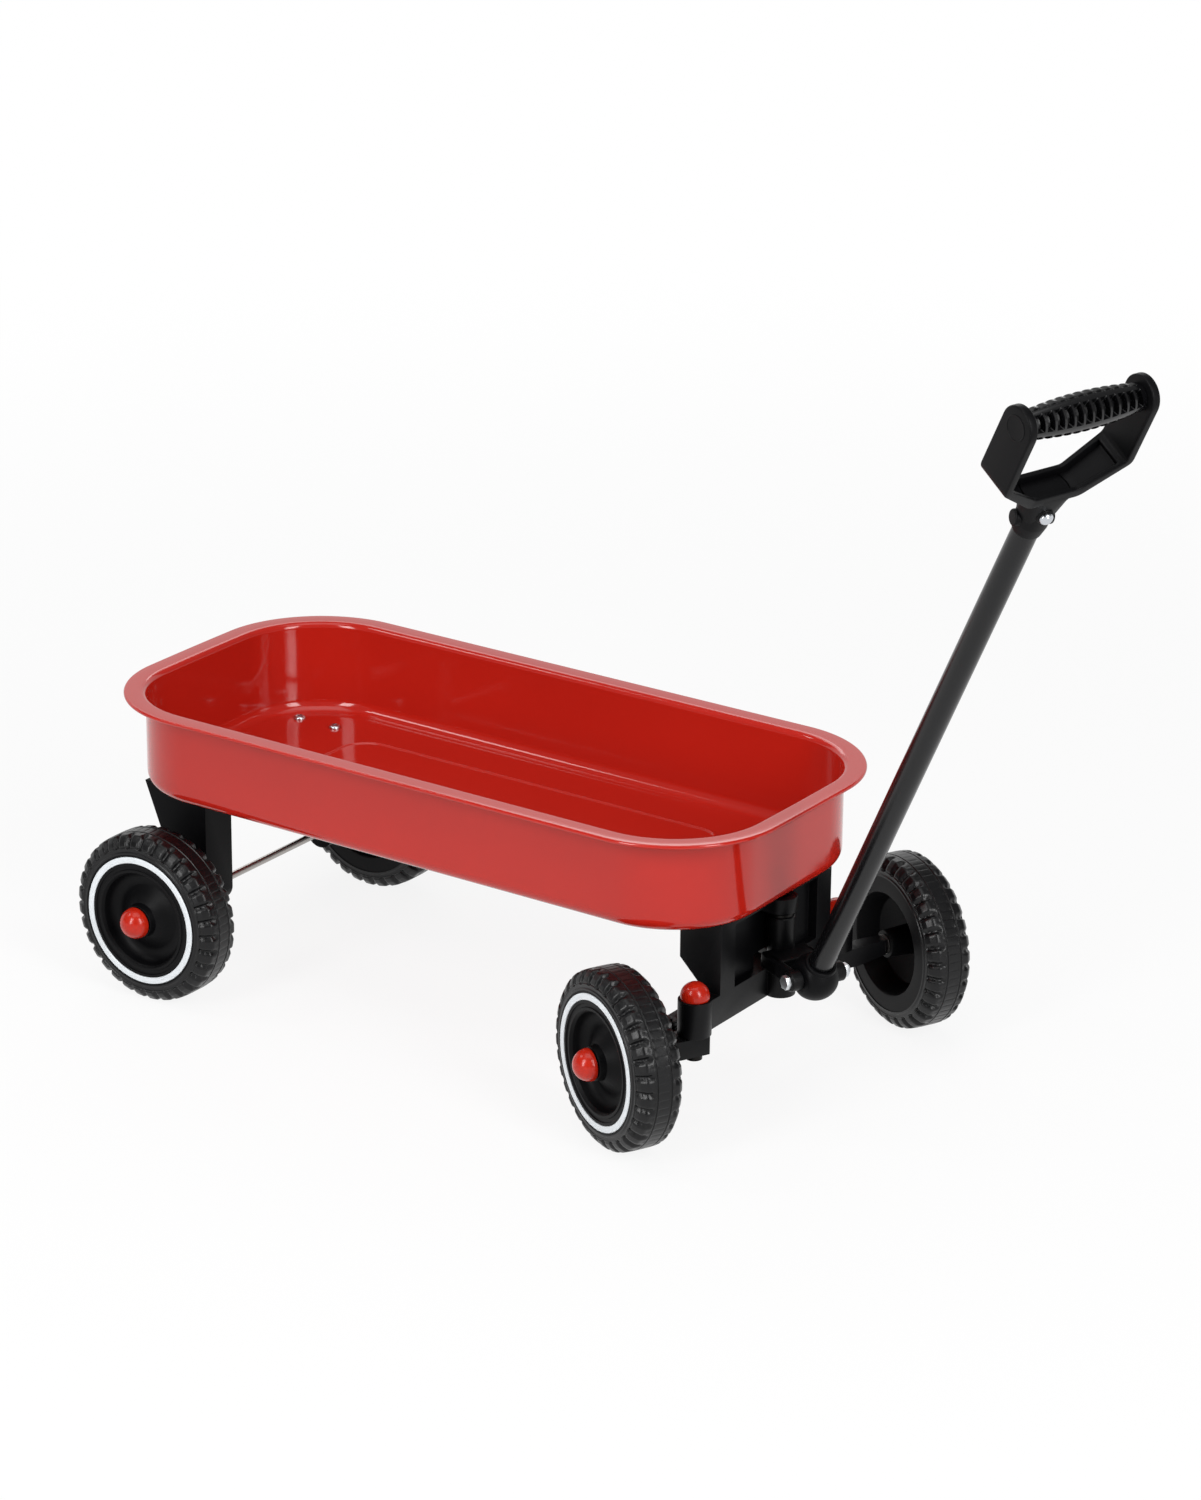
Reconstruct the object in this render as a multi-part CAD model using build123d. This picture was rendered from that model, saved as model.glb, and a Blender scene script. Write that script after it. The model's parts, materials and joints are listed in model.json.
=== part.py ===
from build123d import *
from math import cos, radians, sin, sqrt, tan
import os

# Pull-along wagon.  Millimetres, +X towards the pull handle, +Y to the wagon's left, +Z up.
# Everything is laid out about the middle of the tray at ground level; main() then moves the
# whole wagon so that the origin is the bottom centre of its bounding box.

# ---- driving dimensions: tray -------------------------------------------------------------
SHEET = 1.2                 # pressed steel sheet
TRAY_LENGTH = 600.0         # over the rim, along the straight sides' ends
TRAY_WIDTH = 288.0          # over the rim
TRAY_END_BOW = 2.5          # how far the short ends bulge at the middle
TRAY_CORNER_R = 92.0        # rim corner in plan
RIM_Z = 236.0               # top of the rim above the ground
TRAY_BASE_Z = 158.0         # underside of the tray floor above the ground
FLANGE = 17.3               # flange width outside the wall
FLANGE_BEND_R = 5.0         # bend from wall to flange, inside of the tray
BASE_BEND_R = 11.0          # bend from wall to floor, outside of the tray
LIP_DROP = 3.2              # rolled edge below the flange top
LIP_WIDTH = 3.2
PANEL_LENGTH = 372.0        # raised panel pressed in the floor
PANEL_WIDTH = 148.0
PANEL_CORNER_R = 30.0
PANEL_RISE = 2.0

# ---- driving dimensions: wheels -----------------------------------------------------------
WHEEL_R = 70.0
TYRE_WIDTH = 40.0
TREAD_WIDTH = 30.0          # width at full radius
TREAD_DEPTH = 3.0           # depth of the grooves in the tyre
TREAD_LUGS = 32             # blocks round each shoulder
LUG_GAP = 3.6               # between two shoulder blocks
LUG_LENGTH = 9.0            # of a shoulder block, across the tyre
GROOVE_WIDTH = 1.8          # of the two grooves round the crown
GROOVE_OFFSET = 4.0         # groove to the tyre's middle plane
CROWN_EDGE = 3.0            # width of the slope at each side of the crown
CROWN_DROP = 1.2            # and how far it drops
SHOULDER_DROP = 7.5         # shoulder's edge below the crown
SIDEWALL_EDGE = 1.0         # chamfer between sidewall and shoulder, across the tyre
SIDEWALL_BEVEL = 3.0        # and along the radius
TYRE_THICK = 15.0           # crown to the wheel disc's seat
RING_INSET = 1.6            # ring's edge inside the disc's seat
RING_WIDTH = 5.6
RING_THICK = 2.0
RING_PROUD = 0.5
DISH_BAND = 9.3             # from the ring to the outer dish's mouth
DISH_DRAFT = 2.5            # outer dish narrows to its floor
DISH_DEPTH = 17.0           # disc's outer face to the outer edge of its web
WEB_RISE = 9.5              # the web is a cone that rises this far to the hub
DISC_WEB = 4.0
NOSE_R = 13.0               # hub nose that the cap stands on
NOSE_DRAFT = 0.5
NOSE_REACH = 22.9           # wheel centre plane to the nose's end
HUB_BOSS_R = 11.0
HUB_DRAFT = 1.5             # taper of the hub boss
INNER_BAND = 13.0           # from the disc's seat to the inboard dish's mouth
INNER_DRAFT = 6.0
DISC_INSET = 0.5            # disc's inboard face inside the tyre's
DISH_LIP = 1.0              # dish's mouth below the disc's outer face

# ---- driving dimensions: axles, caps and fasteners ----------------------------------------
AXLE_R = 3.0
SPIN_CLEARANCE = 0.08       # radial, wheel on axle and knuckle on kingpin
WASHER_R = 8.0
WASHER_THICK = 1.0
END_PLAY = 0.3              # axial gap beside a turning part
WHEEL_CAP_R = 12.7
WHEEL_CAP_SIDE = 0.8        # straight side under the cap's dome
KINGPIN_CAP_R = 11.3
KINGPIN_CAP_SIDE = 2.3
CAP_BORE_DEPTH = 9.5
CAP_END_GAP = 1.0           # from an axle's end to the bottom of its cap's bore
KINGPIN_R = 4.0
KINGPIN_HEAD_R = 6.4
SCREW_R = 2.4
SCREW_HEAD_R = 4.9
SCREW_HEAD_H = 2.8
SCREW_LENGTH = 18.0
SCREW_FIT = 0.1             # radial, screw shank in its hole
SCREW_END_GAP = 2.0         # hole deeper than the screw
RECESS_SPAN = 5.2           # cross recess in the screw's head
RECESS_WIDTH = 1.1
RECESS_DEPTH = 1.2
PIVOT_BOLT_R = 3.0
HEX_FLATS = 10.0
HEX_HEAD_H = 4.0
BOLT_END = 2.0              # bolt past its nut

# ---- driving dimensions: rear running gear ------------------------------------------------
REAR_AXLE_INSET = 78.2      # axle ahead of the tray's rear end
REAR_WHEEL_OUTSET = 2.4     # wheel centre plane outside the rim
REAR_LEG_INSET = 62.0       # middle of each leg inside the rim
REAR_LEG_WIDTH = 33.0
REAR_LEG_FRONT = 13.3       # front face ahead of the axle
REAR_LEG_SLOPE = 0.4        # rearward travel of the back edge per unit height
REAR_LEG_FOOT_R = 13.3
LEG_WALL = 3.5
AXLE_BARREL_R = 10.0
REAR_SCREW_PITCH = 37.0
REAR_SCREW_BACK = 13.7      # middle of the pair behind the axle
SCREW_BOSS_R = 6.2
SCREW_BOSS_H = 34.0

# ---- driving dimensions: front running gear -----------------------------------------------
KINGPIN_INSET = 36.0        # kingpins behind the tray's front end
KINGPIN_SIDE_INSET = 44.0   # and inside its rim at the sides
KINGPIN_OFFSET = 65.6       # kingpin to wheel centre plane
KINGPIN_CAP_Z = 104.5       # top of the kingpin boss
BOSS_R = 13.0
BEAM_AHEAD = 8.0            # beam's front face ahead of the kingpins
BEAM_BEHIND = 12.0          # and its rear face behind them
BEAM_BOTTOM_Z = 77.0
BEAM_TOP_Z = 101.0
BEAM_WALL = 3.5
BOSS_DROP = 1.0             # kingpin boss below the beam
FRONT_LEG_INSET = 66.4      # leg's outer face inside the rim
FRONT_LEG_WIDTH = 19.9
FRONT_LEG_BEHIND = 29.0     # leg's rear face behind the kingpins
FRONT_LEG_STEP_Z = 124.0    # the leg's rear edge slopes in below this
TOP_PLATE = 6.0
WEB_THICK = 4.0             # upright web between the legs
STEER_AHEAD = 12.0          # steering pin ahead of the kingpins
STEER_PIN_R = 5.0
STEER_BOSS_R = 12.0
STEER_PIN_END_GAP = 1.0     # pin's top below the tray
COLLAR_R = 9.3
COLLAR_THICK = 2.0
STEER_END_GAP = 0.4         # yoke sleeve to the faces above and below it
STEER_LIMIT = 32.0          # either side of straight ahead
FRONT_SCREW_PITCH = 24.0
KNUCKLE_TOP_Z = 75.0
KNUCKLE_BOTTOM_Z = 60.0
KNUCKLE_FRONT = 8.0         # block ahead of the kingpin
KNUCKLE_REAR = 12.0
KNUCKLE_INBOARD = 10.0
KNUCKLE_ROOT = 16.0         # block outboard of the kingpin
KNUCKLE_ROUND = 2.0
STUB_SEAT = 2.0             # stub axle starts this far inside the block
STUB_HALF = 6.0             # half the knuckle's square outer end
STEER_ARM = 38.0            # kingpin to tie-rod pin, and steering pin to tie-rod pin
LINK_PIN_R = 3.0
LINK_CLEARANCE = 0.3        # radial, open pivots at the knuckles
TIE_ROD_TOP_Z = 71.5
TIE_ROD_THICK = 4.0
ARM_WIDTH = 13.0            # steering arms, tie rod and drawbar tail
LINK_GAP = 0.5              # tie rod to the arms above and below it
CLIP_R = 6.0
CLIP_THICK = 1.0
TAIL_BOTTOM_Z = 103.0
TAIL_THICK = 8.0
TAIL_POST_R = 5.5
TAIL_ROOM = 1.5             # tail to the edges of its window in the web
STUD_END = 1.0              # pivot stud past its clip

# ---- driving dimensions: pull handle ------------------------------------------------------
STEER_ANGLE = -26.0         # front wheels and drawbar turned to the right
HANDLE_TILT = 59.5          # drawbar above the horizontal
HITCH_REACH = 50.2          # steering pin to handle pivot
HITCH_Z = 109.8
YOKE_SLEEVE_R = 10.5
YOKE_SLEEVE_TOP_Z = 142.0
YOKE_THROAT = 8.0           # cup to the yoke's cross piece
YOKE_ARM_HALF = 7.7         # half the height of the yoke's arms
YOKE_CHEEK_INSET = 2.0      # arm's outer face inside the ear's
EAR_R = 8.5
EAR_THICK = 12.0
CUP_R = 16.0
CUP_HALF_WIDTH = 11.5
CUP_LIP = 15.0              # pivot to the cup's open end, along the tube
EAR_GAP = 0.4
TUBE_R = 9.5
TUBE_WALL = 1.3
TUBE_START = 5.0            # from the handle pivot, along the tube
TUBE_END = 528.0            # length of the handle, from its pivot
SOCKET_LENGTH = 31.0        # of the grip's socket, over the tube's end
SOCKET_R = 12.6
GRIP_BOLT_BELOW = 17.0      # grip bolt below the tube's end
GRIP_BOLT_TURN = -27.0      # bolt turned about the tube from the grip's width
GRIP_BOLT_R = 2.5
GRIP_BOLT_HEAD_R = 5.2
GRIP_BOLT_HEAD_H = 3.6
GRIP_BOSS_R = 6.2
GRIP_BOSS_PROUD = 2.4       # bolt boss outside the socket
GRIP_NUT_FLATS = 8.0
GRIP_NUT_H = 3.2
GRIP_BOLT_END = 0.8         # bolt past its nut
GRIP_TWIST = 5.4            # handle grip turned about the tube
GRIP_HALF_WIDTH = 55.5      # outside of the side straps
STRAP_THICK = 6.5
STRAP_HALF_DEPTH = 15.6
BRIDGE_ABOVE = 16.5         # lower bar's top above the tube's end
ARM_RISE = 20.5             # straps' feet above the lower bar
BARREL_ABOVE = 48.0         # hand bar's middle above the straps' feet
BRIDGE_THICK = 8.0
BRIDGE_LIP = 4.0            # thickness of the lower bar's front ledge
BRIDGE_HALF_FLAT = 19.0
BRIDGE_HALF_DEPTH = 12.5
SOCKET_FLARE = 4.0          # flare starts this far below the tube's end
END_MARK_R = 9.5            # shallow ring moulded on each strap
END_MARK_WIDTH = 1.0
END_MARK_DEPTH = 0.6
BARREL_MID_R = 13.4
BARREL_END_R = 9.8
BARREL_RIB = 2.6
BARREL_POCKETS = 11
BARREL_POCKET_DEPTH = 3.6
BARREL_SPINE_HALF = 4.6
BARREL_CLEARANCE = 0.25
BARREL_END_LAND = 3.0       # plain end of the barrel
SPIGOT_R = 5.0
SPIGOT_FIT = 0.05           # radial

# ---- derived places -----------------------------------------------------------------------
FLOOR_Z = TRAY_BASE_Z + SHEET
TYRE_SHOULDER_R = WHEEL_R - SHOULDER_DROP
RIM_SEAT_R = WHEEL_R - TYRE_THICK           # tyre sits on the wheel disc here
RING_OUTER_R = RIM_SEAT_R - RING_INSET
RING_INNER_R = RING_OUTER_R - RING_WIDTH
DISH_MOUTH_R = RING_INNER_R - DISH_BAND
DISH_FLOOR_R = DISH_MOUTH_R - DISH_DRAFT
INNER_MOUTH_R = RIM_SEAT_R - INNER_BAND
INNER_FLOOR_R = INNER_MOUTH_R - INNER_DRAFT
REAR_WHEEL_Y = TRAY_WIDTH / 2 + REAR_WHEEL_OUTSET
REAR_LEG_Y = TRAY_WIDTH / 2 - REAR_LEG_INSET
KINGPIN_Y = TRAY_WIDTH / 2 - KINGPIN_SIDE_INSET
FRONT_LEG_OUTER_Y = TRAY_WIDTH / 2 - FRONT_LEG_INSET
FRONT_LEG_INNER_Y = FRONT_LEG_OUTER_Y - FRONT_LEG_WIDTH
REAR_AXLE_X = REAR_AXLE_INSET - TRAY_LENGTH / 2
REAR_SCREW_X = REAR_AXLE_X - REAR_SCREW_BACK
KINGPIN_X = TRAY_LENGTH / 2 - KINGPIN_INSET
BEAM_FRONT_X = KINGPIN_X + BEAM_AHEAD
BEAM_REAR_X = KINGPIN_X - BEAM_BEHIND
FRONT_LEG_REAR_X = KINGPIN_X - FRONT_LEG_BEHIND
WEB_X = (BEAM_FRONT_X + BEAM_REAR_X) / 2
STEER_X = KINGPIN_X + STEER_AHEAD
WEB_EDGE = TYRE_WIDTH / 2 - DISH_DEPTH      # outer face of the web at its edge, from wheel centre
WEB_HUB = WEB_EDGE + WEB_RISE               # and at the hub
CAP_SEAT = NOSE_REACH + WASHER_THICK + END_PLAY
INNER_WASHER = TYRE_WIDTH / 2 + END_PLAY + WASHER_THICK     # wheel centre plane to what its washer seats on
TIE_ROD_LOW_Z = TIE_ROD_TOP_Z - TIE_ROD_THICK
SOCKET_START = TUBE_END - SOCKET_LENGTH     # along the tube from its pivot, as the next four are
GRIP_BOLT_W = TUBE_END - GRIP_BOLT_BELOW
BRIDGE_W = TUBE_END + BRIDGE_ABOVE          # top of the lower bar
STRAP_FOOT_W = BRIDGE_W + ARM_RISE
GRIP_AXIS_W = STRAP_FOOT_W + BARREL_ABOVE
GRIP_BOSS_HALF = SOCKET_R + GRIP_BOSS_PROUD
SIDES = {"right": -1, "left": 1}


def move(shape, x=0.0, y=0.0, z=0.0):
    return Pos(x, y, z) * shape


def rod(radius, length):
    """Cylinder standing on the XY plane."""
    return Cylinder(radius, length, align=(Align.CENTER, Align.CENTER, Align.MIN))


def block(x0, x1, y0, y1, z0, z1):
    middle = Pos((x0 + x1) / 2, (y0 + y1) / 2, (z0 + z1) / 2)
    return middle * Box(abs(x1 - x0), abs(y1 - y0), abs(z1 - z0))


def along_y(shape):
    """Turn a shape built along +Z so that it points along +Y."""
    return Rot(-90, 0, 0) * shape


def outward(shape, side):
    """Turn a shape built along +Z so that it points away from the wagon on the given side."""
    return Rot(-90 * side, 0, 0) * shape


def profile_xz(points, y0, y1):
    """Prism with the given outline of (x, z) points, from y0 to y1."""
    face = make_face(Polyline(*[(x, 0, z) for x, z in points], close=True))
    return Pos(0, min(y0, y1), 0) * extrude(face, abs(y1 - y0), dir=(0, 1, 0))


def revolved(points):
    """Solid of revolution about Z from (radius, height) points."""
    face = make_face(Polyline(*[(r, 0, z) for r, z in points], close=True))
    return revolve(face, Axis.Z)


def hexagon(flats, height):
    return extrude(RegularPolygon(flats / sqrt(3), 6), height)


def single(shape):
    """The one solid in a shape."""
    return shape.solids()[0] if len(shape.solids()) == 1 else shape


# ---- tray ---------------------------------------------------------------------------------
def plan(inset, height):
    """Tray outline at the rim, moved inwards by inset, as a face at the given height."""
    half_l = TRAY_LENGTH / 2 - inset
    half_w = TRAY_WIDTH / 2 - inset
    bow = TRAY_END_BOW
    outline = [
        Line((-half_l, -half_w), (half_l, -half_w)),
        ThreePointArc((half_l, -half_w), (half_l + bow, 0), (half_l, half_w)),
        Line((half_l, half_w), (-half_l, half_w)),
        ThreePointArc((-half_l, half_w), (-half_l - bow, 0), (-half_l, -half_w)),
    ]
    face = make_face(outline)
    return Pos(0, 0, height) * fillet(face.vertices(), TRAY_CORNER_R - inset)


def edges_on(body, inset, height):
    """Edges of body that run along the tray outline at this inset and height."""
    reach_x = TRAY_LENGTH / 2 + TRAY_END_BOW - inset + 0.1
    reach_y = TRAY_WIDTH / 2 - inset + 0.1
    chosen = []
    for edge in body.edges():
        box = edge.bounding_box()
        level = abs(box.min.Z - height) < 0.01 and abs(box.max.Z - height) < 0.01
        inside_x = box.max.X < reach_x and box.min.X > -reach_x
        inside_y = box.max.Y < reach_y and box.min.Y > -reach_y
        if level and inside_x and inside_y:
            chosen.append(edge)
    return chosen


def floor_panel(height, grow):
    panel = RectangleRounded(PANEL_LENGTH + 2 * grow, PANEL_WIDTH + 2 * grow, PANEL_CORNER_R + grow)
    return extrude(Pos(0, 0, height) * panel, PANEL_RISE)


def screw_places():
    """(x, y) of each screw that holds the running gear under the tray."""
    places = []
    front_x = (FRONT_LEG_REAR_X + BEAM_FRONT_X) / 2
    front_y = (FRONT_LEG_INNER_Y + FRONT_LEG_OUTER_Y) / 2
    for side in SIDES.values():
        for end in (-1, 1):
            places.append((REAR_SCREW_X + end * REAR_SCREW_PITCH / 2, side * REAR_LEG_Y))
            places.append((front_x + end * FRONT_SCREW_PITCH / 2, side * front_y))
    return places


def tray():
    height = RIM_Z - TRAY_BASE_Z
    outer = extrude(plan(FLANGE, TRAY_BASE_Z), height)
    outer = fillet(outer.faces().sort_by(Axis.Z)[0].edges(), BASE_BEND_R)
    flange = extrude(plan(0, RIM_Z - SHEET), SHEET)
    lip_z = RIM_Z - LIP_DROP
    lip = extrude(plan(0, lip_z), LIP_DROP) - extrude(plan(LIP_WIDTH, lip_z), LIP_DROP)
    inner = extrude(plan(FLANGE + SHEET, FLOOR_Z), height)
    inner = fillet(inner.faces().sort_by(Axis.Z)[0].edges(), BASE_BEND_R - SHEET)
    body = outer + flange + lip
    body = fillet(edges_on(body, FLANGE, RIM_Z - SHEET), FLANGE_BEND_R - SHEET)
    body = body - inner
    body = fillet(edges_on(body, FLANGE + SHEET, RIM_Z), FLANGE_BEND_R)
    body = body + floor_panel(FLOOR_Z, 0) - floor_panel(TRAY_BASE_Z, -SHEET)
    for x, y in screw_places():
        body = body - move(rod(SCREW_R + SCREW_FIT, 4 * SHEET), x, y, TRAY_BASE_Z - SHEET)
    return single(body)


def pan_screw():
    """Pan-head cross-recess screw, underside of the head at Z 0, shank downwards."""
    head = rod(SCREW_HEAD_R, SCREW_HEAD_H)
    head = fillet(head.faces().sort_by(Axis.Z)[-1].edges(), SCREW_HEAD_H * 0.7)
    slot = Box(RECESS_SPAN, RECESS_WIDTH, 2 * RECESS_DEPTH) + Box(RECESS_WIDTH, RECESS_SPAN, 2 * RECESS_DEPTH)
    slot = Pos(0, 0, SCREW_HEAD_H) * slot
    shank = Pos(0, 0, -SCREW_LENGTH) * rod(SCREW_R, SCREW_LENGTH)
    return head - slot + shank


def tray_screws():
    return [move(pan_screw(), x, y, FLOOR_Z) for x, y in screw_places()]


# ---- rear running gear --------------------------------------------------------------------
def leg_outline(inset, low):
    """Side view of a rear leg above the given height as (x, z) points, moved inwards by inset."""
    front = REAR_AXLE_X + REAR_LEG_FRONT - inset
    back = REAR_AXLE_X - REAR_LEG_FOOT_R + inset
    back_low = back - REAR_LEG_SLOPE * (low - WHEEL_R)
    back_high = back - REAR_LEG_SLOPE * (TRAY_BASE_Z - WHEEL_R)
    return [(front, low), (front, TRAY_BASE_Z), (back_high, TRAY_BASE_Z), (back_low, low)]


def rear_leg(side):
    y_in = REAR_LEG_Y - REAR_LEG_WIDTH / 2
    y_out = REAR_LEG_Y + REAR_LEG_WIDTH / 2
    whole = profile_xz(leg_outline(0, WHEEL_R), y_in, y_out)
    whole = whole + Pos(REAR_AXLE_X, y_in, WHEEL_R) * along_y(rod(REAR_LEG_FOOT_R, REAR_LEG_WIDTH))
    cavity_outline = leg_outline(LEG_WALL, WHEEL_R + REAR_LEG_FOOT_R)
    body = whole - profile_xz(cavity_outline, y_in + LEG_WALL, y_out - LEG_WALL)
    screw_xs = [REAR_SCREW_X + end * REAR_SCREW_PITCH / 2 for end in (-1, 1)]
    for x in screw_xs:
        boss = move(rod(SCREW_BOSS_R, SCREW_BOSS_H), x, REAR_LEG_Y, TRAY_BASE_Z - SCREW_BOSS_H)
        body = body + (boss & whole)
    barrel_end = REAR_WHEEL_Y - INNER_WASHER
    body = body + Pos(REAR_AXLE_X, y_in, WHEEL_R) * along_y(rod(AXLE_BARREL_R, barrel_end - y_in))
    body = body - Pos(REAR_AXLE_X, 0, WHEEL_R) * along_y(rod(AXLE_R, REAR_WHEEL_Y))
    for x in screw_xs:
        hole = rod(SCREW_R + SCREW_FIT, SCREW_LENGTH + SCREW_END_GAP)
        body = body - move(hole, x, REAR_LEG_Y, TRAY_BASE_Z - SCREW_LENGTH)
    return single(body if side > 0 else mirror(body, Plane.XZ))


def axle_tip():
    """How far an axle reaches past the wheel centre plane, into its cap."""
    return CAP_SEAT + CAP_BORE_DEPTH - CAP_END_GAP


def rear_axle():
    half = REAR_WHEEL_Y + axle_tip()
    return Pos(REAR_AXLE_X, -half, WHEEL_R) * along_y(rod(AXLE_R, 2 * half))


def dome_cap(radius, side, bore_r):
    """Domed push-on cap standing on the XY plane."""
    cap = rod(radius, side) + Pos(0, 0, side) * Sphere(radius)
    cap = cap & rod(2 * radius, side + radius)
    cap = cap - rod(bore_r, CAP_BORE_DEPTH)
    return cap


def washer(bore_r):
    return rod(WASHER_R, WASHER_THICK) - rod(bore_r, WASHER_THICK)


def wheel_washers():
    """The washers inboard and outboard of one wheel, axle along Z, wheel centre at Z 0."""
    ring = washer(AXLE_R)
    return [Pos(0, 0, -INNER_WASHER) * ring, Pos(0, 0, NOSE_REACH + END_PLAY) * ring]


# ---- wheels, built about Z with the outer face upwards --------------------------------------
def tyre():
    half = TYRE_WIDTH / 2
    crown = TREAD_WIDTH / 2
    profile = [
        (RIM_SEAT_R, half), (TYRE_SHOULDER_R - SIDEWALL_BEVEL, half), (TYRE_SHOULDER_R, half - SIDEWALL_EDGE),
        (WHEEL_R - CROWN_DROP, crown), (WHEEL_R, crown - CROWN_EDGE),
    ]
    body = revolved(profile + [(r, -z) for r, z in reversed(profile)])
    gap = Pos(WHEEL_R, 0, 0) * Box(2 * TREAD_DEPTH, LUG_GAP, LUG_LENGTH)
    gap_level = half - LUG_LENGTH / 2
    gaps = []
    for i in range(TREAD_LUGS):
        angle = 360 * i / TREAD_LUGS
        gaps.append(Rot(0, 0, angle) * Pos(0, 0, gap_level) * gap)
        gaps.append(Rot(0, 0, angle + 180 / TREAD_LUGS) * Pos(0, 0, -gap_level) * gap)
    body = body - Compound(gaps)
    groove = rod(WHEEL_R + TREAD_DEPTH, GROOVE_WIDTH) - rod(WHEEL_R - TREAD_DEPTH / 2, GROOVE_WIDTH)
    for level in (-GROOVE_OFFSET, GROOVE_OFFSET):
        body = body - Pos(0, 0, level - GROOVE_WIDTH / 2) * groove
    return single(body)


def wheel_disc():
    half = TYRE_WIDTH / 2
    inboard = -half + DISC_INSET
    seat = half - RING_THICK + RING_PROUD
    bore = AXLE_R + SPIN_CLEARANCE
    return revolved([
        (bore, -half), (HUB_BOSS_R, -half), (HUB_BOSS_R + HUB_DRAFT, WEB_HUB - DISC_WEB),
        (INNER_FLOOR_R, WEB_EDGE - DISC_WEB), (INNER_MOUTH_R, inboard), (RIM_SEAT_R, inboard),
        (RIM_SEAT_R, half), (RING_OUTER_R, half), (RING_OUTER_R, seat), (RING_INNER_R, seat),
        (RING_INNER_R, half), (DISH_MOUTH_R, half - DISH_LIP), (DISH_FLOOR_R, WEB_EDGE),
        (NOSE_R + NOSE_DRAFT, WEB_HUB), (NOSE_R, NOSE_REACH), (bore, NOSE_REACH),
    ])


def white_ring():
    low = TYRE_WIDTH / 2 - RING_THICK + RING_PROUD
    ring = Pos(0, 0, low) * (rod(RING_OUTER_R, RING_THICK) - rod(RING_INNER_R, RING_THICK))
    top = ring.faces().sort_by(Axis.Z)[-1]
    return fillet(top.edges(), RING_PROUD * 0.8)


# ---- front running gear -------------------------------------------------------------------
def front_leg(side):
    """One leg of the bolster, up from the beam to the tray."""
    rear_low = FRONT_LEG_STEP_Z - (BEAM_REAR_X - FRONT_LEG_REAR_X)
    outline = [
        (BEAM_FRONT_X, BEAM_BOTTOM_Z), (BEAM_FRONT_X, TRAY_BASE_Z), (FRONT_LEG_REAR_X, TRAY_BASE_Z),
        (FRONT_LEG_REAR_X, FRONT_LEG_STEP_Z), (BEAM_REAR_X, rear_low), (BEAM_REAR_X, BEAM_BOTTOM_Z),
    ]
    return profile_xz(outline, side * FRONT_LEG_INNER_Y, side * FRONT_LEG_OUTER_Y)


def front_bolster():
    top = TRAY_BASE_Z
    plate_z = top - TOP_PLATE
    hub_z = plate_z - TOP_PLATE
    beam = block(BEAM_REAR_X, BEAM_FRONT_X, -KINGPIN_Y, KINGPIN_Y, BEAM_BOTTOM_Z, BEAM_TOP_Z)
    boss_low = BEAM_BOTTOM_Z - BOSS_DROP
    for side in SIDES.values():
        pocket_in = side * (STEER_BOSS_R + BEAM_WALL)
        pocket_out = side * (FRONT_LEG_INNER_Y - BEAM_WALL)
        beam = beam - block(BEAM_REAR_X + BEAM_WALL, BEAM_FRONT_X - BEAM_WALL, pocket_in, pocket_out,
                            BEAM_BOTTOM_Z, BEAM_TOP_Z - BEAM_WALL)
        beam = beam + front_leg(side)
        beam = beam + move(rod(BOSS_R, KINGPIN_CAP_Z - boss_low), KINGPIN_X, side * KINGPIN_Y, boss_low)
    beam = beam + block(FRONT_LEG_REAR_X, BEAM_FRONT_X, -FRONT_LEG_OUTER_Y, FRONT_LEG_OUTER_Y, plate_z, top)
    beam = beam + block(BEAM_REAR_X, STEER_X, -STEER_BOSS_R, STEER_BOSS_R, hub_z, top)
    beam = beam + move(rod(STEER_BOSS_R, top - hub_z), STEER_X, 0, hub_z)
    web_rear = WEB_X - WEB_THICK / 2
    web_front = WEB_X + WEB_THICK / 2
    beam = beam + block(web_rear, web_front, -FRONT_LEG_INNER_Y, FRONT_LEG_INNER_Y, BEAM_TOP_Z, top)
    beam = beam + move(rod(STEER_BOSS_R, BEAM_TOP_Z - BEAM_BOTTOM_Z), STEER_X, 0, BEAM_BOTTOM_Z)
    lock = radians(STEER_LIMIT)
    swing = (STEER_X - web_rear) * tan(lock) + ARM_WIDTH / 2 / cos(lock) + TAIL_ROOM
    window_top = TAIL_BOTTOM_Z + TAIL_THICK + TAIL_ROOM
    beam = beam - block(web_rear - WEB_THICK, web_front + WEB_THICK, -swing, swing, BEAM_TOP_Z, window_top)
    for side in SIDES.values():
        beam = beam - move(rod(KINGPIN_R, BEAM_TOP_Z), KINGPIN_X, side * KINGPIN_Y, boss_low)
    beam = beam - move(rod(STEER_PIN_R, top - BEAM_BOTTOM_Z), STEER_X, 0, BEAM_BOTTOM_Z)
    for x, y in screw_places():
        if x > 0:
            hole = rod(SCREW_R + SCREW_FIT, SCREW_LENGTH + SCREW_END_GAP)
            beam = beam - move(hole, x, y, top - SCREW_LENGTH)
    return single(beam)


def kingpin():
    """Headed pin up through a knuckle and its boss, about the kingpin axis."""
    head_top = KNUCKLE_BOTTOM_Z - END_PLAY
    head = Pos(0, 0, head_top - HEX_HEAD_H) * rod(KINGPIN_HEAD_R, HEX_HEAD_H)
    top = KINGPIN_CAP_Z + CAP_BORE_DEPTH - CAP_END_GAP
    return head + Pos(0, 0, head_top) * rod(KINGPIN_R, top - head_top)


def steering_pin():
    """Upright pin that the drawbar yoke turns on."""
    return Pos(0, 0, BEAM_BOTTOM_Z) * rod(STEER_PIN_R, TRAY_BASE_Z - STEER_PIN_END_GAP - BEAM_BOTTOM_Z)


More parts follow.
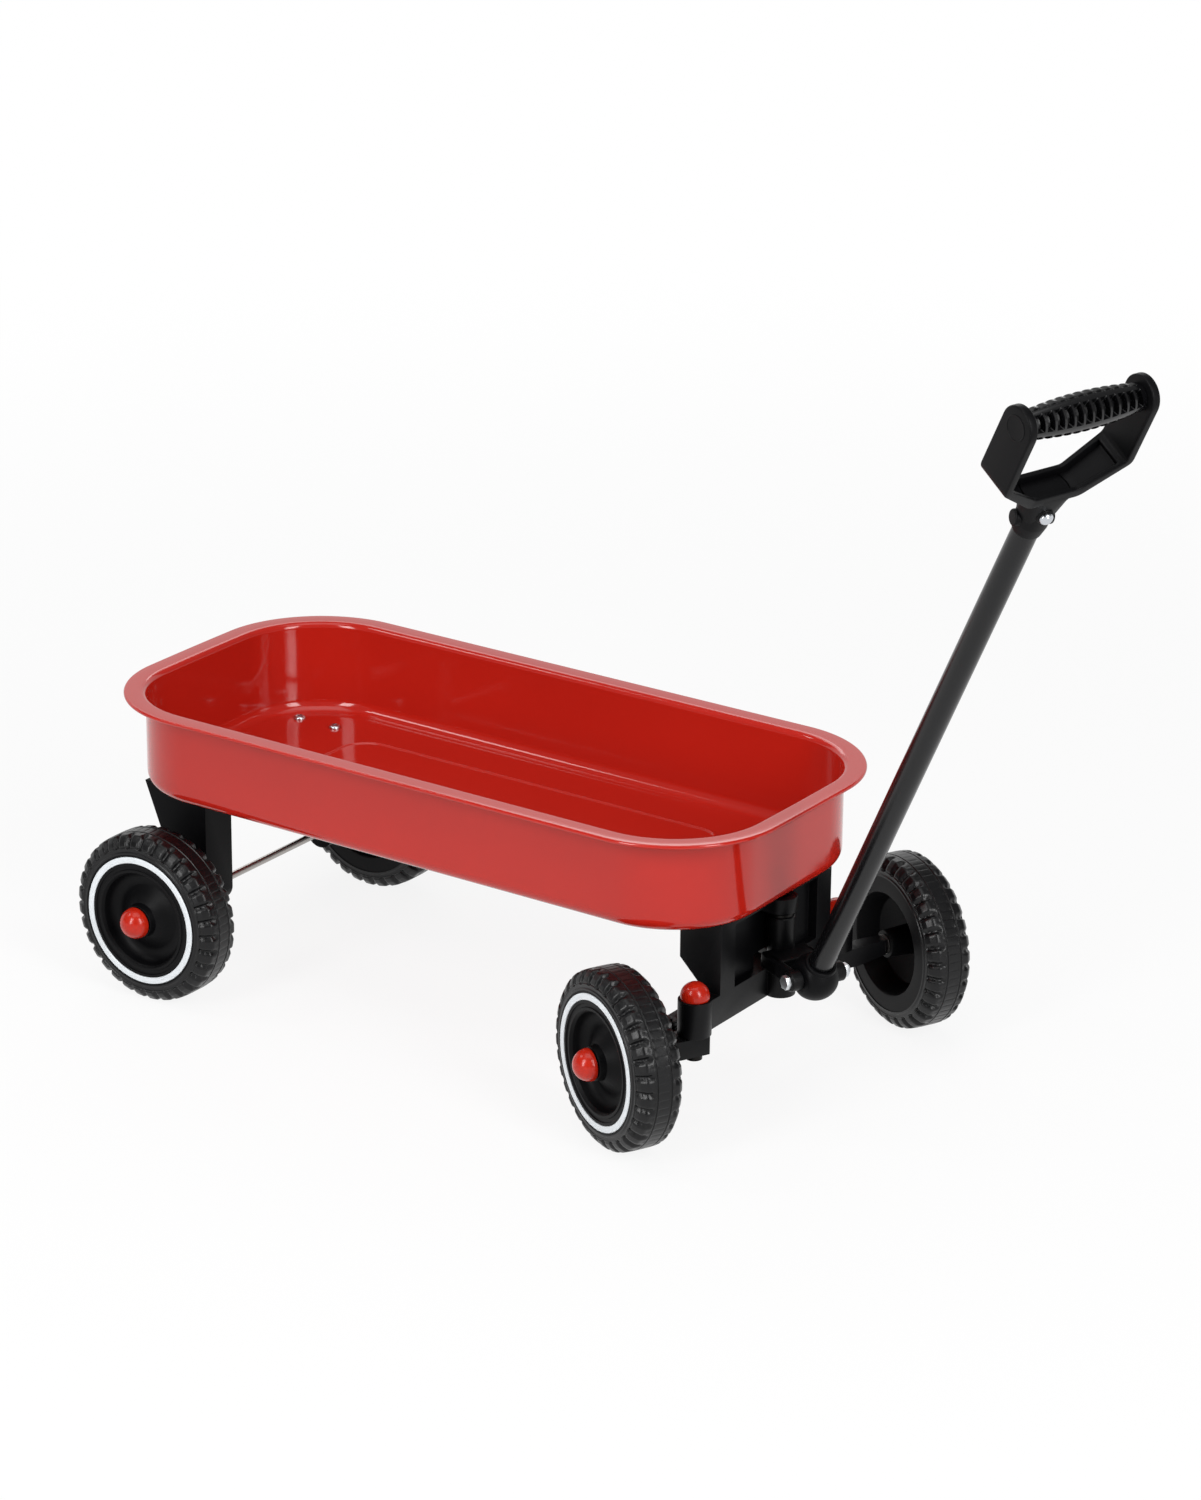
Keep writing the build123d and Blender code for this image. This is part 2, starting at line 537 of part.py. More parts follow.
def steering_collar():
    """Collar on the steering pin, above the yoke's sleeve."""
    ring = rod(COLLAR_R, COLLAR_THICK) - rod(STEER_PIN_R, COLLAR_THICK)
    return Pos(0, 0, YOKE_SLEEVE_TOP_Z + STEER_END_GAP) * ring


def knuckle(side):
    """Knuckle about its kingpin, pointing straight ahead, outboard towards +Y or -Y."""
    low, high = KNUCKLE_BOTTOM_Z, KNUCKLE_TOP_Z
    body = block(-KNUCKLE_REAR, KNUCKLE_FRONT, -KNUCKLE_INBOARD, KNUCKLE_ROOT, low, high)
    tip = KINGPIN_OFFSET - INNER_WASHER
    arm = loft([
        Pos(0, KNUCKLE_ROOT, (low + high) / 2) * Rot(-90, 0, 0) * Rectangle(2 * KNUCKLE_FRONT, high - low),
        Pos(0, tip, WHEEL_R) * Rot(-90, 0, 0) * Rectangle(2 * STUB_HALF, 2 * STUB_HALF),
    ])
    body = body + arm
    body = fillet(body.edges().filter_by(Axis.Z), KNUCKLE_ROUND)
    arm_top = TIE_ROD_LOW_Z - LINK_GAP
    arm_back = block(-STEER_ARM, 0, -ARM_WIDTH / 2, ARM_WIDTH / 2, low, arm_top)
    arm_back = arm_back + Pos(-STEER_ARM, 0, low) * rod(ARM_WIDTH / 2, arm_top - low)
    body = body + arm_back
    stud_top = TIE_ROD_TOP_Z + LINK_GAP + CLIP_THICK + STUD_END
    body = body + Pos(-STEER_ARM, 0, low) * rod(LINK_PIN_R, stud_top - low)
    body = body - Pos(0, 0, low) * rod(KINGPIN_R + SPIN_CLEARANCE, high - low)
    body = body - Pos(0, KNUCKLE_ROOT - STUB_SEAT, WHEEL_R) * along_y(rod(AXLE_R, tip))
    return single(body if side > 0 else mirror(body, Plane.XZ))


def stub_axle(side):
    start = KNUCKLE_ROOT - STUB_SEAT
    length = KINGPIN_OFFSET + axle_tip() - start
    return Pos(0, side * start, WHEEL_R) * outward(rod(AXLE_R, length), side)


def link_clip(bottom_z):
    ring = rod(CLIP_R, CLIP_THICK) - rod(LINK_PIN_R, CLIP_THICK)
    return Pos(-STEER_ARM, 0, bottom_z) * ring


def tie_rod():
    """Bar across the two knuckle arms, seen straight ahead about the wagon's middle plane."""
    low = TIE_ROD_LOW_Z
    bar_x = KINGPIN_X - STEER_ARM
    tab_x = STEER_X - STEER_ARM
    half = ARM_WIDTH / 2
    bar = block(bar_x - half, bar_x + half, -KINGPIN_Y, KINGPIN_Y, low, TIE_ROD_TOP_Z)
    bar = bar + block(bar_x, tab_x, -half, half, low, TIE_ROD_TOP_Z)
    bar = bar + move(rod(half, TIE_ROD_THICK), tab_x, 0, low)
    for side in SIDES.values():
        bar = bar + move(rod(half, TIE_ROD_THICK), bar_x, side * KINGPIN_Y, low)
    for side in SIDES.values():
        bar = bar - move(rod(LINK_PIN_R + LINK_CLEARANCE, TIE_ROD_THICK), bar_x, side * KINGPIN_Y, low)
    return single(bar - move(rod(LINK_PIN_R + SPIN_CLEARANCE, TIE_ROD_THICK), tab_x, 0, low))


# ---- drawbar, about the steering pin, pointing straight ahead --------------------------------
def ear_inner():
    return CUP_HALF_WIDTH + EAR_GAP


def drawbar_yoke():
    low = BEAM_TOP_Z + STEER_END_GAP
    body = Pos(0, 0, low) * rod(YOKE_SLEEVE_R, YOKE_SLEEVE_TOP_Z - low)
    inner = ear_inner()
    outer = inner + EAR_THICK
    cheek = outer - YOKE_CHEEK_INSET
    cross_front = HITCH_REACH - CUP_R - YOKE_THROAT
    arm_low = HITCH_Z - YOKE_ARM_HALF
    arm_high = HITCH_Z + YOKE_ARM_HALF
    body = body + block(0, cross_front, -cheek, cheek, arm_low, arm_high)
    for side in SIDES.values():
        body = body + block(0, HITCH_REACH, side * inner, side * cheek, arm_low, arm_high)
        body = body + Pos(HITCH_REACH, side * inner, HITCH_Z) * outward(rod(EAR_R, EAR_THICK), side)
    half = ARM_WIDTH / 2
    tail_top = TAIL_BOTTOM_Z + TAIL_THICK
    body = body + block(-STEER_ARM, 0, -half, half, TAIL_BOTTOM_Z, tail_top)
    body = body + Pos(-STEER_ARM, 0, TAIL_BOTTOM_Z) * rod(half, TAIL_THICK)
    post_low = TIE_ROD_TOP_Z + LINK_GAP
    body = body + Pos(-STEER_ARM, 0, post_low) * rod(TAIL_POST_R, tail_top - post_low)
    pin_low = TIE_ROD_LOW_Z - LINK_GAP - CLIP_THICK - STUD_END
    body = body + Pos(-STEER_ARM, 0, pin_low) * rod(LINK_PIN_R, tail_top - pin_low)
    body = body - Pos(0, 0, low) * rod(STEER_PIN_R + SPIN_CLEARANCE, YOKE_SLEEVE_TOP_Z - low)
    body = body - Pos(HITCH_REACH, -outer, HITCH_Z) * along_y(rod(PIVOT_BOLT_R, 2 * outer))
    return single(body)


def hitch_bolt():
    """Hex bolt through both ears, head on the right."""
    outer = ear_inner() + EAR_THICK
    shank = rod(PIVOT_BOLT_R, 2 * outer + HEX_HEAD_H + BOLT_END)
    bolt = Pos(0, 0, -HEX_HEAD_H) * hexagon(HEX_FLATS, HEX_HEAD_H) + shank
    return Pos(HITCH_REACH, -outer, HITCH_Z) * along_y(bolt)


def hitch_nut():
    outer = ear_inner() + EAR_THICK
    nut = hexagon(HEX_FLATS, HEX_HEAD_H) - rod(PIVOT_BOLT_R, HEX_HEAD_H)
    return Pos(HITCH_REACH, outer, HITCH_Z) * along_y(nut)


# ---- handle, built upright: pivot at the origin, tube along +Z, front of the grip towards +X --
def handle_cup():
    cup = rod(CUP_R, CUP_LIP) + Sphere(CUP_R)
    cup = cup & Box(4 * CUP_R, 2 * CUP_HALF_WIDTH, 4 * CUP_R)
    cup = cup - Pos(0, 0, TUBE_START) * rod(TUBE_R, CUP_LIP)
    bore = Pos(0, -CUP_HALF_WIDTH, 0) * along_y(rod(PIVOT_BOLT_R + SPIN_CLEARANCE, 2 * CUP_HALF_WIDTH))
    return single(cup - bore)


def handle_tube():
    length = TUBE_END - TUBE_START
    tube = Pos(0, 0, TUBE_START) * (rod(TUBE_R, length) - rod(TUBE_R - TUBE_WALL, length))
    reach = 2 * TUBE_R
    hole = Pos(0, -reach, GRIP_BOLT_W) * along_y(rod(GRIP_BOLT_R, 2 * reach))
    return single(tube - Rot(0, 0, GRIP_TWIST + GRIP_BOLT_TURN) * hole)


def strap_inner():
    return GRIP_HALF_WIDTH - STRAP_THICK


def bridge_outline(thickness):
    """Lower bar of the grip as (y, z) points: flat middle, arms rising to the side straps."""
    low = BRIDGE_W - BRIDGE_THICK
    high = low + thickness
    rise = STRAP_FOOT_W - BRIDGE_W
    half_low = BRIDGE_HALF_FLAT + BRIDGE_THICK / 3
    half_high = BRIDGE_HALF_FLAT
    foot = STRAP_FOOT_W - BRIDGE_THICK / 3
    right = [(half_low, low), (GRIP_HALF_WIDTH, foot), (GRIP_HALF_WIDTH, foot + thickness),
             (strap_inner(), high + rise), (half_high, high)]
    left = [(-y, z) for y, z in reversed(right)]
    return right + left


def prism_yz(points, x0, x1):
    face = make_face(Polyline(*[(0, y, z) for y, z in points], close=True))
    return Pos(x0, 0, 0) * extrude(face, x1 - x0, dir=(1, 0, 0))


def grip_frame():
    deep = STRAP_HALF_DEPTH
    bridge = prism_yz(bridge_outline(BRIDGE_THICK), -deep, 0) + prism_yz(bridge_outline(BRIDGE_LIP), 0, deep)
    waist = Polyline(
        (-BRIDGE_HALF_DEPTH, -BRIDGE_HALF_FLAT), (-BRIDGE_HALF_DEPTH, BRIDGE_HALF_FLAT),
        (-deep, GRIP_HALF_WIDTH), (deep, GRIP_HALF_WIDTH),
        (BRIDGE_HALF_DEPTH, BRIDGE_HALF_FLAT), (BRIDGE_HALF_DEPTH, -BRIDGE_HALF_FLAT),
        (deep, -GRIP_HALF_WIDTH), (-deep, -GRIP_HALF_WIDTH), close=True)
    body = bridge & Pos(0, 0, BRIDGE_W - 2 * BRIDGE_THICK) * extrude(make_face(waist), GRIP_AXIS_W - BRIDGE_W)
    foot = STRAP_FOOT_W - BRIDGE_THICK / 3
    for side in SIDES.values():
        y0 = side * strap_inner()
        y1 = side * GRIP_HALF_WIDTH
        strap = block(-deep, deep, y0, y1, foot, GRIP_AXIS_W)
        strap = strap + Pos(0, min(y0, y1), GRIP_AXIS_W) * along_y(rod(deep, STRAP_THICK))
        socket = Pos(0, y0, GRIP_AXIS_W) * outward(rod(SPIGOT_R, STRAP_THICK / 2), side)
        ring = rod(END_MARK_R, END_MARK_DEPTH) - rod(END_MARK_R - END_MARK_WIDTH, END_MARK_DEPTH)
        mark = Pos(0, y1, GRIP_AXIS_W) * outward(ring, -side)
        body = body + (strap - socket - mark)
    low = BRIDGE_W - BRIDGE_THICK
    socket = Pos(0, 0, SOCKET_START) * rod(SOCKET_R, low + BRIDGE_LIP / 2 - SOCKET_START)
    flare_low = TUBE_END - SOCKET_FLARE
    flare = Pos(0, 0, flare_low) * Cone(SOCKET_R, BRIDGE_HALF_FLAT, low - flare_low,
                                        align=(Align.CENTER, Align.CENTER, Align.MIN))
    flare = flare & Pos(0, 0, low) * Box(2 * BRIDGE_HALF_DEPTH, 4 * SOCKET_R, 4 * (low - flare_low))
    bolt_start = Rot(0, 0, GRIP_BOLT_TURN) * Pos(0, -GRIP_BOSS_HALF, GRIP_BOLT_W)
    body = body + socket + flare + bolt_start * along_y(rod(GRIP_BOSS_R, 2 * GRIP_BOSS_HALF))
    body = body - Pos(0, 0, SOCKET_START) * rod(TUBE_R, TUBE_END - SOCKET_START)
    body = body - bolt_start * along_y(rod(GRIP_BOLT_R, 2 * GRIP_BOSS_HALF))
    return single(body)


def grip_barrel():
    half = strap_inner() - BARREL_CLEARANCE
    sag = BARREL_MID_R - BARREL_END_R
    arc = ThreePointArc((BARREL_END_R, 0, -half), (BARREL_MID_R, 0, 0), (BARREL_END_R, 0, half))
    ends = Polyline((BARREL_END_R, 0, half), (0, 0, half), (0, 0, -half), (BARREL_END_R, 0, -half))
    full = revolve(make_face([arc, ends]), Axis.Z)
    pitch = 2 * (half - BARREL_END_LAND) / (BARREL_POCKETS + 1)
    groove_width = pitch - BARREL_RIB
    cuts = []
    for i in range(BARREL_POCKETS):
        level = (i - (BARREL_POCKETS - 1) / 2) * pitch
        outer_r = BARREL_MID_R - sag * (level / half) ** 2
        outside = rod(BARREL_MID_R + BARREL_POCKET_DEPTH, groove_width)
        ring = outside - rod(outer_r - BARREL_POCKET_DEPTH, groove_width)
        ring = ring - Box(2 * BARREL_SPINE_HALF, 4 * BARREL_MID_R, 4 * groove_width)
        cuts.append(Pos(0, 0, level - groove_width / 2) * ring)
    full = full - Compound(cuts)
    for side in (-1, 1):
        spigot = Rot(90 - 90 * side, 0, 0) * rod(SPIGOT_R - SPIGOT_FIT, STRAP_THICK / 2)
        full = full + Pos(0, 0, side * half) * spigot
    return single(Pos(0, 0, GRIP_AXIS_W) * along_y(full))


def grip_bolt():
    """Cross bolt through the socket and the tube, head on the left."""
    length = 2 * GRIP_BOSS_HALF
    head = Pos(0, 0, length) * rod(GRIP_BOLT_HEAD_R, GRIP_BOLT_HEAD_H)
    head = fillet(head.faces().sort_by(Axis.Z)[-1].edges(), GRIP_BOLT_HEAD_H * 0.4)
    past = GRIP_NUT_H + GRIP_BOLT_END
    bolt = Pos(0, 0, -past) * rod(GRIP_BOLT_R, length + past) + head
    return Rot(0, 0, GRIP_BOLT_TURN) * Pos(0, -GRIP_BOSS_HALF, GRIP_BOLT_W) * along_y(bolt)


def grip_nut():
    nut = hexagon(GRIP_NUT_FLATS, GRIP_NUT_H) - rod(GRIP_BOLT_R, GRIP_NUT_H)
    return Rot(0, 0, GRIP_BOLT_TURN) * Pos(0, -GRIP_BOSS_HALF - GRIP_NUT_H, GRIP_BOLT_W) * along_y(nut)


# ---- where each group stands, about the tray's middle -----------------------------------------
def rear_wheel_place(side):
    return Pos(REAR_AXLE_X, side * REAR_WHEEL_Y, WHEEL_R) * Rot(-90 * side, 0, 0)


def knuckle_place(side):
    return Pos(KINGPIN_X, side * KINGPIN_Y, 0) * Rot(0, 0, STEER_ANGLE)


def front_wheel_place(side):
    return knuckle_place(side) * Pos(0, side * KINGPIN_OFFSET, WHEEL_R) * Rot(-90 * side, 0, 0)


def yoke_place():
    return Pos(STEER_X, 0, 0) * Rot(0, 0, STEER_ANGLE)


def tie_rod_place():
    """The tie rod keeps its heading and rides round with the arms."""
    turn = radians(STEER_ANGLE)
    return Pos(STEER_ARM * (1 - cos(turn)), -STEER_ARM * sin(turn), 0)


def handle_place():
    return yoke_place() * Pos(HITCH_REACH, 0, HITCH_Z) * Rot(0, 90 - HANDLE_TILT, 0)


def grip_place():
    return handle_place() * Rot(0, 0, GRIP_TWIST)


def wagon():
    """Every node of the wagon as name -> list of solids, about the tray's middle."""
    nodes = {"tray": [tray()], "tray_screws": tray_screws(), "rear_axle": [rear_axle()]}
    nodes["front_bolster"] = [front_bolster()]
    nodes["steering_pin"] = [Pos(STEER_X, 0, 0) * steering_pin()]
    nodes["steering_collar"] = [Pos(STEER_X, 0, 0) * steering_collar()]
    clip_above = TIE_ROD_TOP_Z + LINK_GAP / 2
    clip_below = TIE_ROD_LOW_Z - LINK_GAP / 2 - CLIP_THICK
    for name, side in SIDES.items():
        nodes[f"rear_leg_{name}"] = [rear_leg(side)]
        nodes[f"kingpin_{name}"] = [move(kingpin(), KINGPIN_X, side * KINGPIN_Y)]
        kingpin_cap = dome_cap(KINGPIN_CAP_R, KINGPIN_CAP_SIDE, KINGPIN_R)
        nodes[f"kingpin_cap_{name}"] = [move(kingpin_cap, KINGPIN_X, side * KINGPIN_Y, KINGPIN_CAP_Z)]
        turned = knuckle_place(side)
        nodes[f"knuckle_{name}"] = [turned * knuckle(side)]
        nodes[f"stub_axle_{name}"] = [turned * stub_axle(side)]
        nodes[f"tie_rod_clip_{name}"] = [turned * link_clip(clip_above)]
        for end, place in (("rear", rear_wheel_place(side)), ("front", front_wheel_place(side))):
            nodes[f"tyre_{end}_{name}"] = [place * tyre()]
            nodes[f"wheel_{end}_{name}"] = [place * wheel_disc()]
            nodes[f"white_ring_{end}_{name}"] = [place * white_ring()]
            wheel_cap = dome_cap(WHEEL_CAP_R, WHEEL_CAP_SIDE, AXLE_R)
            nodes[f"wheel_cap_{end}_{name}"] = [place * Pos(0, 0, CAP_SEAT) * wheel_cap]
            nodes[f"washers_{end}_{name}"] = [place * ring for ring in wheel_washers()]
    nodes["tie_rod"] = [tie_rod_place() * tie_rod()]
    nodes["drawbar_yoke"] = [yoke_place() * drawbar_yoke()]
    nodes["hitch_bolt"] = [yoke_place() * hitch_bolt()]
    nodes["hitch_nut"] = [yoke_place() * hitch_nut()]
    nodes["tie_rod_clip_centre"] = [yoke_place() * link_clip(clip_below)]
    nodes["handle_cup"] = [handle_place() * handle_cup()]
    nodes["handle_tube"] = [handle_place() * handle_tube()]
    nodes["grip_frame"] = [grip_place() * grip_frame()]
    nodes["grip_barrel"] = [grip_place() * grip_barrel()]
    nodes["grip_bolt"] = [grip_place() * grip_bolt()]
    nodes["grip_nut"] = [grip_place() * grip_nut()]
    return nodes


def origin_shift(nodes):
    """Move that puts the bottom centre of the whole wagon's bounding box at the origin."""
    box = Compound([s for group in nodes.values() for s in group]).bounding_box(optimal=True)
    return Vector(-(box.min.X + box.max.X) / 2, -(box.min.Y + box.max.Y) / 2, -box.min.Z)


def main():
    os.makedirs("parts", exist_ok=True)
    nodes = wagon()
    shift = origin_shift(nodes)
    for name, group in nodes.items():
        placed = [Pos(shift) * shape for shape in group]
        export_step(placed[0] if len(placed) == 1 else Compound(placed), f"parts/{name}.step")
    return nodes, shift


NODES, ORIGIN_SHIFT = main()
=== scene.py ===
import json
from math import atan2, ceil, cos, pi, radians, sin, tan

import bmesh
import bpy
from mathutils import Matrix, Vector


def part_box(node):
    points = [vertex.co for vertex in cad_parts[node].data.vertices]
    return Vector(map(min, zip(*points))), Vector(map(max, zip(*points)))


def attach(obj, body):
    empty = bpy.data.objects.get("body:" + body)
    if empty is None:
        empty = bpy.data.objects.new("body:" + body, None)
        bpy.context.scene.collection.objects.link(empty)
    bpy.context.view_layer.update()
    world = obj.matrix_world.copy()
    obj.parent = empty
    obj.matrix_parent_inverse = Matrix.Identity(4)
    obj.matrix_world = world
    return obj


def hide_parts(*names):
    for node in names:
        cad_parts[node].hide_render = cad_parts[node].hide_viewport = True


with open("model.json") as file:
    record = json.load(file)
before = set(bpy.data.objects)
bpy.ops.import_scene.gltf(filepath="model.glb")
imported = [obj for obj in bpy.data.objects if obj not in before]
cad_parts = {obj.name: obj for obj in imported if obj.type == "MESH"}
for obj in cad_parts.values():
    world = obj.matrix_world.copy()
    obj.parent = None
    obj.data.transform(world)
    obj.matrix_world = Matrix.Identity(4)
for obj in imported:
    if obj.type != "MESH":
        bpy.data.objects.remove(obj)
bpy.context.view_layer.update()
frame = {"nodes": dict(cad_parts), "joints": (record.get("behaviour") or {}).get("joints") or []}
nodes = frame["nodes"]
joints = {joint["name"]: joint for joint in frame["joints"]}


# ---- tray ---------------------------------------------------------------------------------
# One deep-drawn pan of 1.2 mm sheet steel: flat out-turned rim with a rolled edge, rounded
# bends, and a raised panel pressed into the floor.  It is sprayed with red stoving enamel.
MM = 0.001  # sizes are in millimetres, and the scene is in metres
SHEET = 1.2
FLANGE = 17.3
FLANGE_BEND_R = 5.0
BASE_BEND_R = 11.0
CORNER_R = 92.0
CORNER_STEPS = 32
END_BOW = 2.5
LIP_DROP = 3.2
LIP_R = LIP_DROP * 0.48
LIP_HEM_R = 1.0
LIP_ROOT_R = 0.6
FLOOR_START = 60.0
PANEL_LENGTH = 372.0
PANEL_WIDTH = 148.0
PANEL_CORNER_R = 30.0
PANEL_MIDDLE = 25.0
PANEL_RISE = 2.0
PANEL_BEAD = 1.0
# Edge of the raised panel as (distance out from its foot, rise, corner radius).
PANEL_EDGE = [
    (-9.0, PANEL_RISE, 0), (-6.0, PANEL_RISE, 0.8),
    (-4.8, PANEL_RISE + PANEL_BEAD, 0.8), (-2.8, PANEL_RISE + PANEL_BEAD, 1.0),
    (0.0, 0.0, 1.2), (2.0, 0.0, 0),
]
LONG_RUN = 20.0
RUN_PIECES = 16
MERGE_WITHIN = 1e-7

tray_low, tray_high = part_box("tray")
TRAY_MIDDLE = Vector(((tray_low.x + tray_high.x) / 2, (tray_low.y + tray_high.y) / 2, 0))
HALF_LENGTH = (tray_high.x - tray_low.x) / 2 / MM - END_BOW
HALF_WIDTH = (tray_high.y - tray_low.y) / 2 / MM
RIM_Z = tray_high.z / MM
BASE_Z = tray_low.z / MM


def rounded(points, step=9.0):
    """Path of (a, b, radius) corners in one plane, each corner replaced by its arc."""
    path = []
    for i, (a, b, radius) in enumerate(points):
        corner = Vector((a, b))
        if radius == 0 or i in (0, len(points) - 1):
            path.append(corner)
            continue
        back = (Vector(points[i - 1][:2]) - corner).normalized()
        ahead = (Vector(points[i + 1][:2]) - corner).normalized()
        opening = back.angle(ahead)
        centre = corner + (back + ahead).normalized() * radius / sin(opening / 2)
        start = corner + back * radius / tan(opening / 2) - centre
        end = corner + ahead * radius / tan(opening / 2) - centre
        turn = atan2(start.x * end.y - start.y * end.x, start.dot(end))
        count = max(2, ceil(abs(turn) / radians(step)))
        for k in range(count + 1):
            angle = turn * k / count
            path.append(centre + Vector((start.x * cos(angle) - start.y * sin(angle),
                                         start.x * sin(angle) + start.y * cos(angle))))
    return path


def oblong(half_length, half_width, corner_r, bow=0.0):
    """Points round a rectangle with round corners and bowed ends, long runs divided."""
    points = []
    for quarter in range(4):
        sign_x = 1 if quarter in (0, 3) else -1
        sign_y = 1 if quarter in (0, 1) else -1
        centre = Vector((sign_x * (half_length - corner_r), sign_y * (half_width - corner_r)))
        for k in range(CORNER_STEPS + 1):
            angle = (quarter + k / CORNER_STEPS) * pi / 2
            points.append(centre + Vector((cos(angle), sin(angle))) * corner_r)
    divided = []
    for point, after in zip(points, points[1:] + points[:1]):
        divided.append(point)
        if (after - point).length > LONG_RUN:
            divided += [point.lerp(after, k / RUN_PIECES) for k in range(1, RUN_PIECES)]
    for point in divided:
        point.x += (1 if point.x > 0 else -1) * bow * (1 - (point.y / half_width) ** 2)
    return divided


def build(name, points, faces, place=None, sharp=35.0):
    """Mesh object from points in millimetres, smooth except at edges sharper than the angle."""
    mesh = bpy.data.meshes.new(name)
    mesh.from_pydata([Vector(p) * MM for p in points], [], faces)
    made = bpy.data.objects.new(name, mesh)
    bpy.context.scene.collection.objects.link(made)
    work = bmesh.new()
    work.from_mesh(mesh)
    bmesh.ops.remove_doubles(work, verts=work.verts, dist=MERGE_WITHIN)
    bmesh.ops.recalc_face_normals(work, faces=work.faces)
    for face in work.faces:
        face.smooth = True
    for edge in work.edges:
        edge.smooth = edge.calc_face_angle(0) < radians(sharp)
    work.to_mesh(mesh)
    work.free()
    mesh.transform(place or Matrix.Identity(4))
    return made


def skin(rings, closed=False):
    """Points and faces of a surface through rings of equal length; open ends are capped."""
    count = len(rings[0])
    points = [tuple(p) for ring in rings for p in ring]
    faces = []
    for level in range(len(rings) if closed else len(rings) - 1):
        low = level * count
        high = (level + 1) % len(rings) * count
        for k in range(count):
            after = (k + 1) % count
            faces.append((low + k, low + after, high + after, high + k))
    if not closed:
        faces.append(tuple(range(count - 1, -1, -1)))
        faces.append(tuple(range(len(points) - count, len(points))))
    return points, faces


def tray_pan():
    """Pan as rings from the middle of the floor up the inside, over the rim and back below."""
    inner = FLANGE + SHEET
    floor_z = BASE_Z + SHEET
    wall = rounded([
        (FLOOR_START, floor_z, 0), (inner, floor_z, BASE_BEND_R - SHEET),
        (inner, RIM_Z, FLANGE_BEND_R), (0, RIM_Z, LIP_R), (0, RIM_Z - LIP_DROP, LIP_R),
        (LIP_DROP, RIM_Z - LIP_DROP, LIP_HEM_R), (LIP_DROP, RIM_Z - SHEET, LIP_ROOT_R),
        (FLANGE, RIM_Z - SHEET, FLANGE_BEND_R - SHEET), (FLANGE, BASE_Z, BASE_BEND_R),
        (FLOOR_START, BASE_Z, 0),
    ])
    edge = rounded(PANEL_EDGE, step=12)
    rings = []

    def panel_ring(grow, height):
        ring = oblong(PANEL_LENGTH / 2 + grow, PANEL_WIDTH / 2 + grow, PANEL_CORNER_R + grow)
        rings.append([(p.x, p.y, height) for p in ring])

    panel_ring(-PANEL_MIDDLE, floor_z + PANEL_RISE)
    for grow, rise in edge:
        panel_ring(grow, floor_z + rise)
    for inset, height in wall[1:-1]:
        ring = oblong(HALF_LENGTH - inset, HALF_WIDTH - inset, CORNER_R - inset, END_BOW)
        rings.append([(p.x, p.y, height) for p in ring])
    for grow, rise in reversed(edge):
        panel_ring(grow, BASE_Z + rise)
    panel_ring(-PANEL_MIDDLE, BASE_Z + PANEL_RISE)
    return build("tray_pan", *skin(rings), Matrix.Translation(TRAY_MIDDLE), sharp=60)


def linear(hex_colour):
    """Linear RGBA of an sRGB hex colour."""
    channels = [int(hex_colour[i:i + 2], 16) / 255 for i in (1, 3, 5)]
    levels = [c / 12.92 if c <= 0.04045 else ((c + 0.055) / 1.055) ** 2.4 for c in channels]
    return (*levels, 1.0)


def scale_of(size):
    """Scale of a pattern whose features are this many millimetres across."""
    return 1 / (size * MM)


def add(material, kind, sockets=None, **settings):
    """Add a node; a socket takes a number, a colour or another node's output."""
    made = material.node_tree.nodes.new(kind)
    for name, value in settings.items():
        setattr(made, name, value)
    for name, value in (sockets or {}).items():
        if isinstance(value, bpy.types.NodeSocket):
            material.node_tree.links.new(value, made.inputs[name])
        else:
            made.inputs[name].default_value = value
    return made


def surface(name, **values):
    """Material and its shader, with the values that are the same all over it."""
    material = bpy.data.materials.new(name)
    material.use_nodes = True
    shader = material.node_tree.nodes["Principled BSDF"]
    for socket, value in values.items():
        shader.inputs[socket.replace("_", " ")].default_value = value
    return material, shader


def wire(material, shader, **links):
    """Link nodes' outputs to the shader's sockets."""
    for socket, output in links.items():
        material.node_tree.links.new(output, shader.inputs[socket.replace("_", " ")])


def stoving_enamel():
    """Gloss stoving enamel on steel: a red that drifts slightly across the tray, with sharp
    reflections and a faint 3 mm orange peel."""
    material, shader = surface("red_stoving_enamel", Roughness=0.10, IOR=1.47)
    where = add(material, "ShaderNodeTexCoord").outputs["Object"]
    drift = add(material, "ShaderNodeTexNoise", {
        "Vector": where, "Scale": scale_of(111), "Detail": 2.0})
    tone = add(material, "ShaderNodeMix", {
        "Factor": drift.outputs["Fac"], "A": linear("#AC1D13"), "B": linear("#B42116"),
    }, data_type="RGBA")
    peel = add(material, "ShaderNodeTexNoise", {
        "Vector": where, "Scale": scale_of(3.03), "Detail": 1.5})
    bump = add(material, "ShaderNodeBump", {
        "Height": peel.outputs["Fac"], "Strength": 0.025, "Distance": 0.5 * MM})
    wire(material, shader, Base_Color=tone.outputs["Result"], Normal=bump.outputs["Normal"])
    return material


def dress(piece, material, body, slot_name, *replaced):
    """Give a piece its finish, the body it rides on and the solids it stands for."""
    piece.data.materials.clear()
    piece.data.materials.append(material)
    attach(piece, body)
    if replaced:
        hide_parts(*replaced)
    return piece


dress(tray_pan(), stoving_enamel(), "chassis", "red_paint", "tray")


# ---- wheels -------------------------------------------------------------------------------
# Four alike: a moulded black disc with a dished centre, a soft black tyre with blocky
# shoulders pushed over it, a white trim ring let into the face, and a red domed cap.
SIDES = {"right": -1, "left": 1}
WHEEL_R = 70.0
TYRE_HALF_WIDTH = 20.0
RIM_SEAT_R = 55.0
BORE_R = 3.08
LUGS = 32
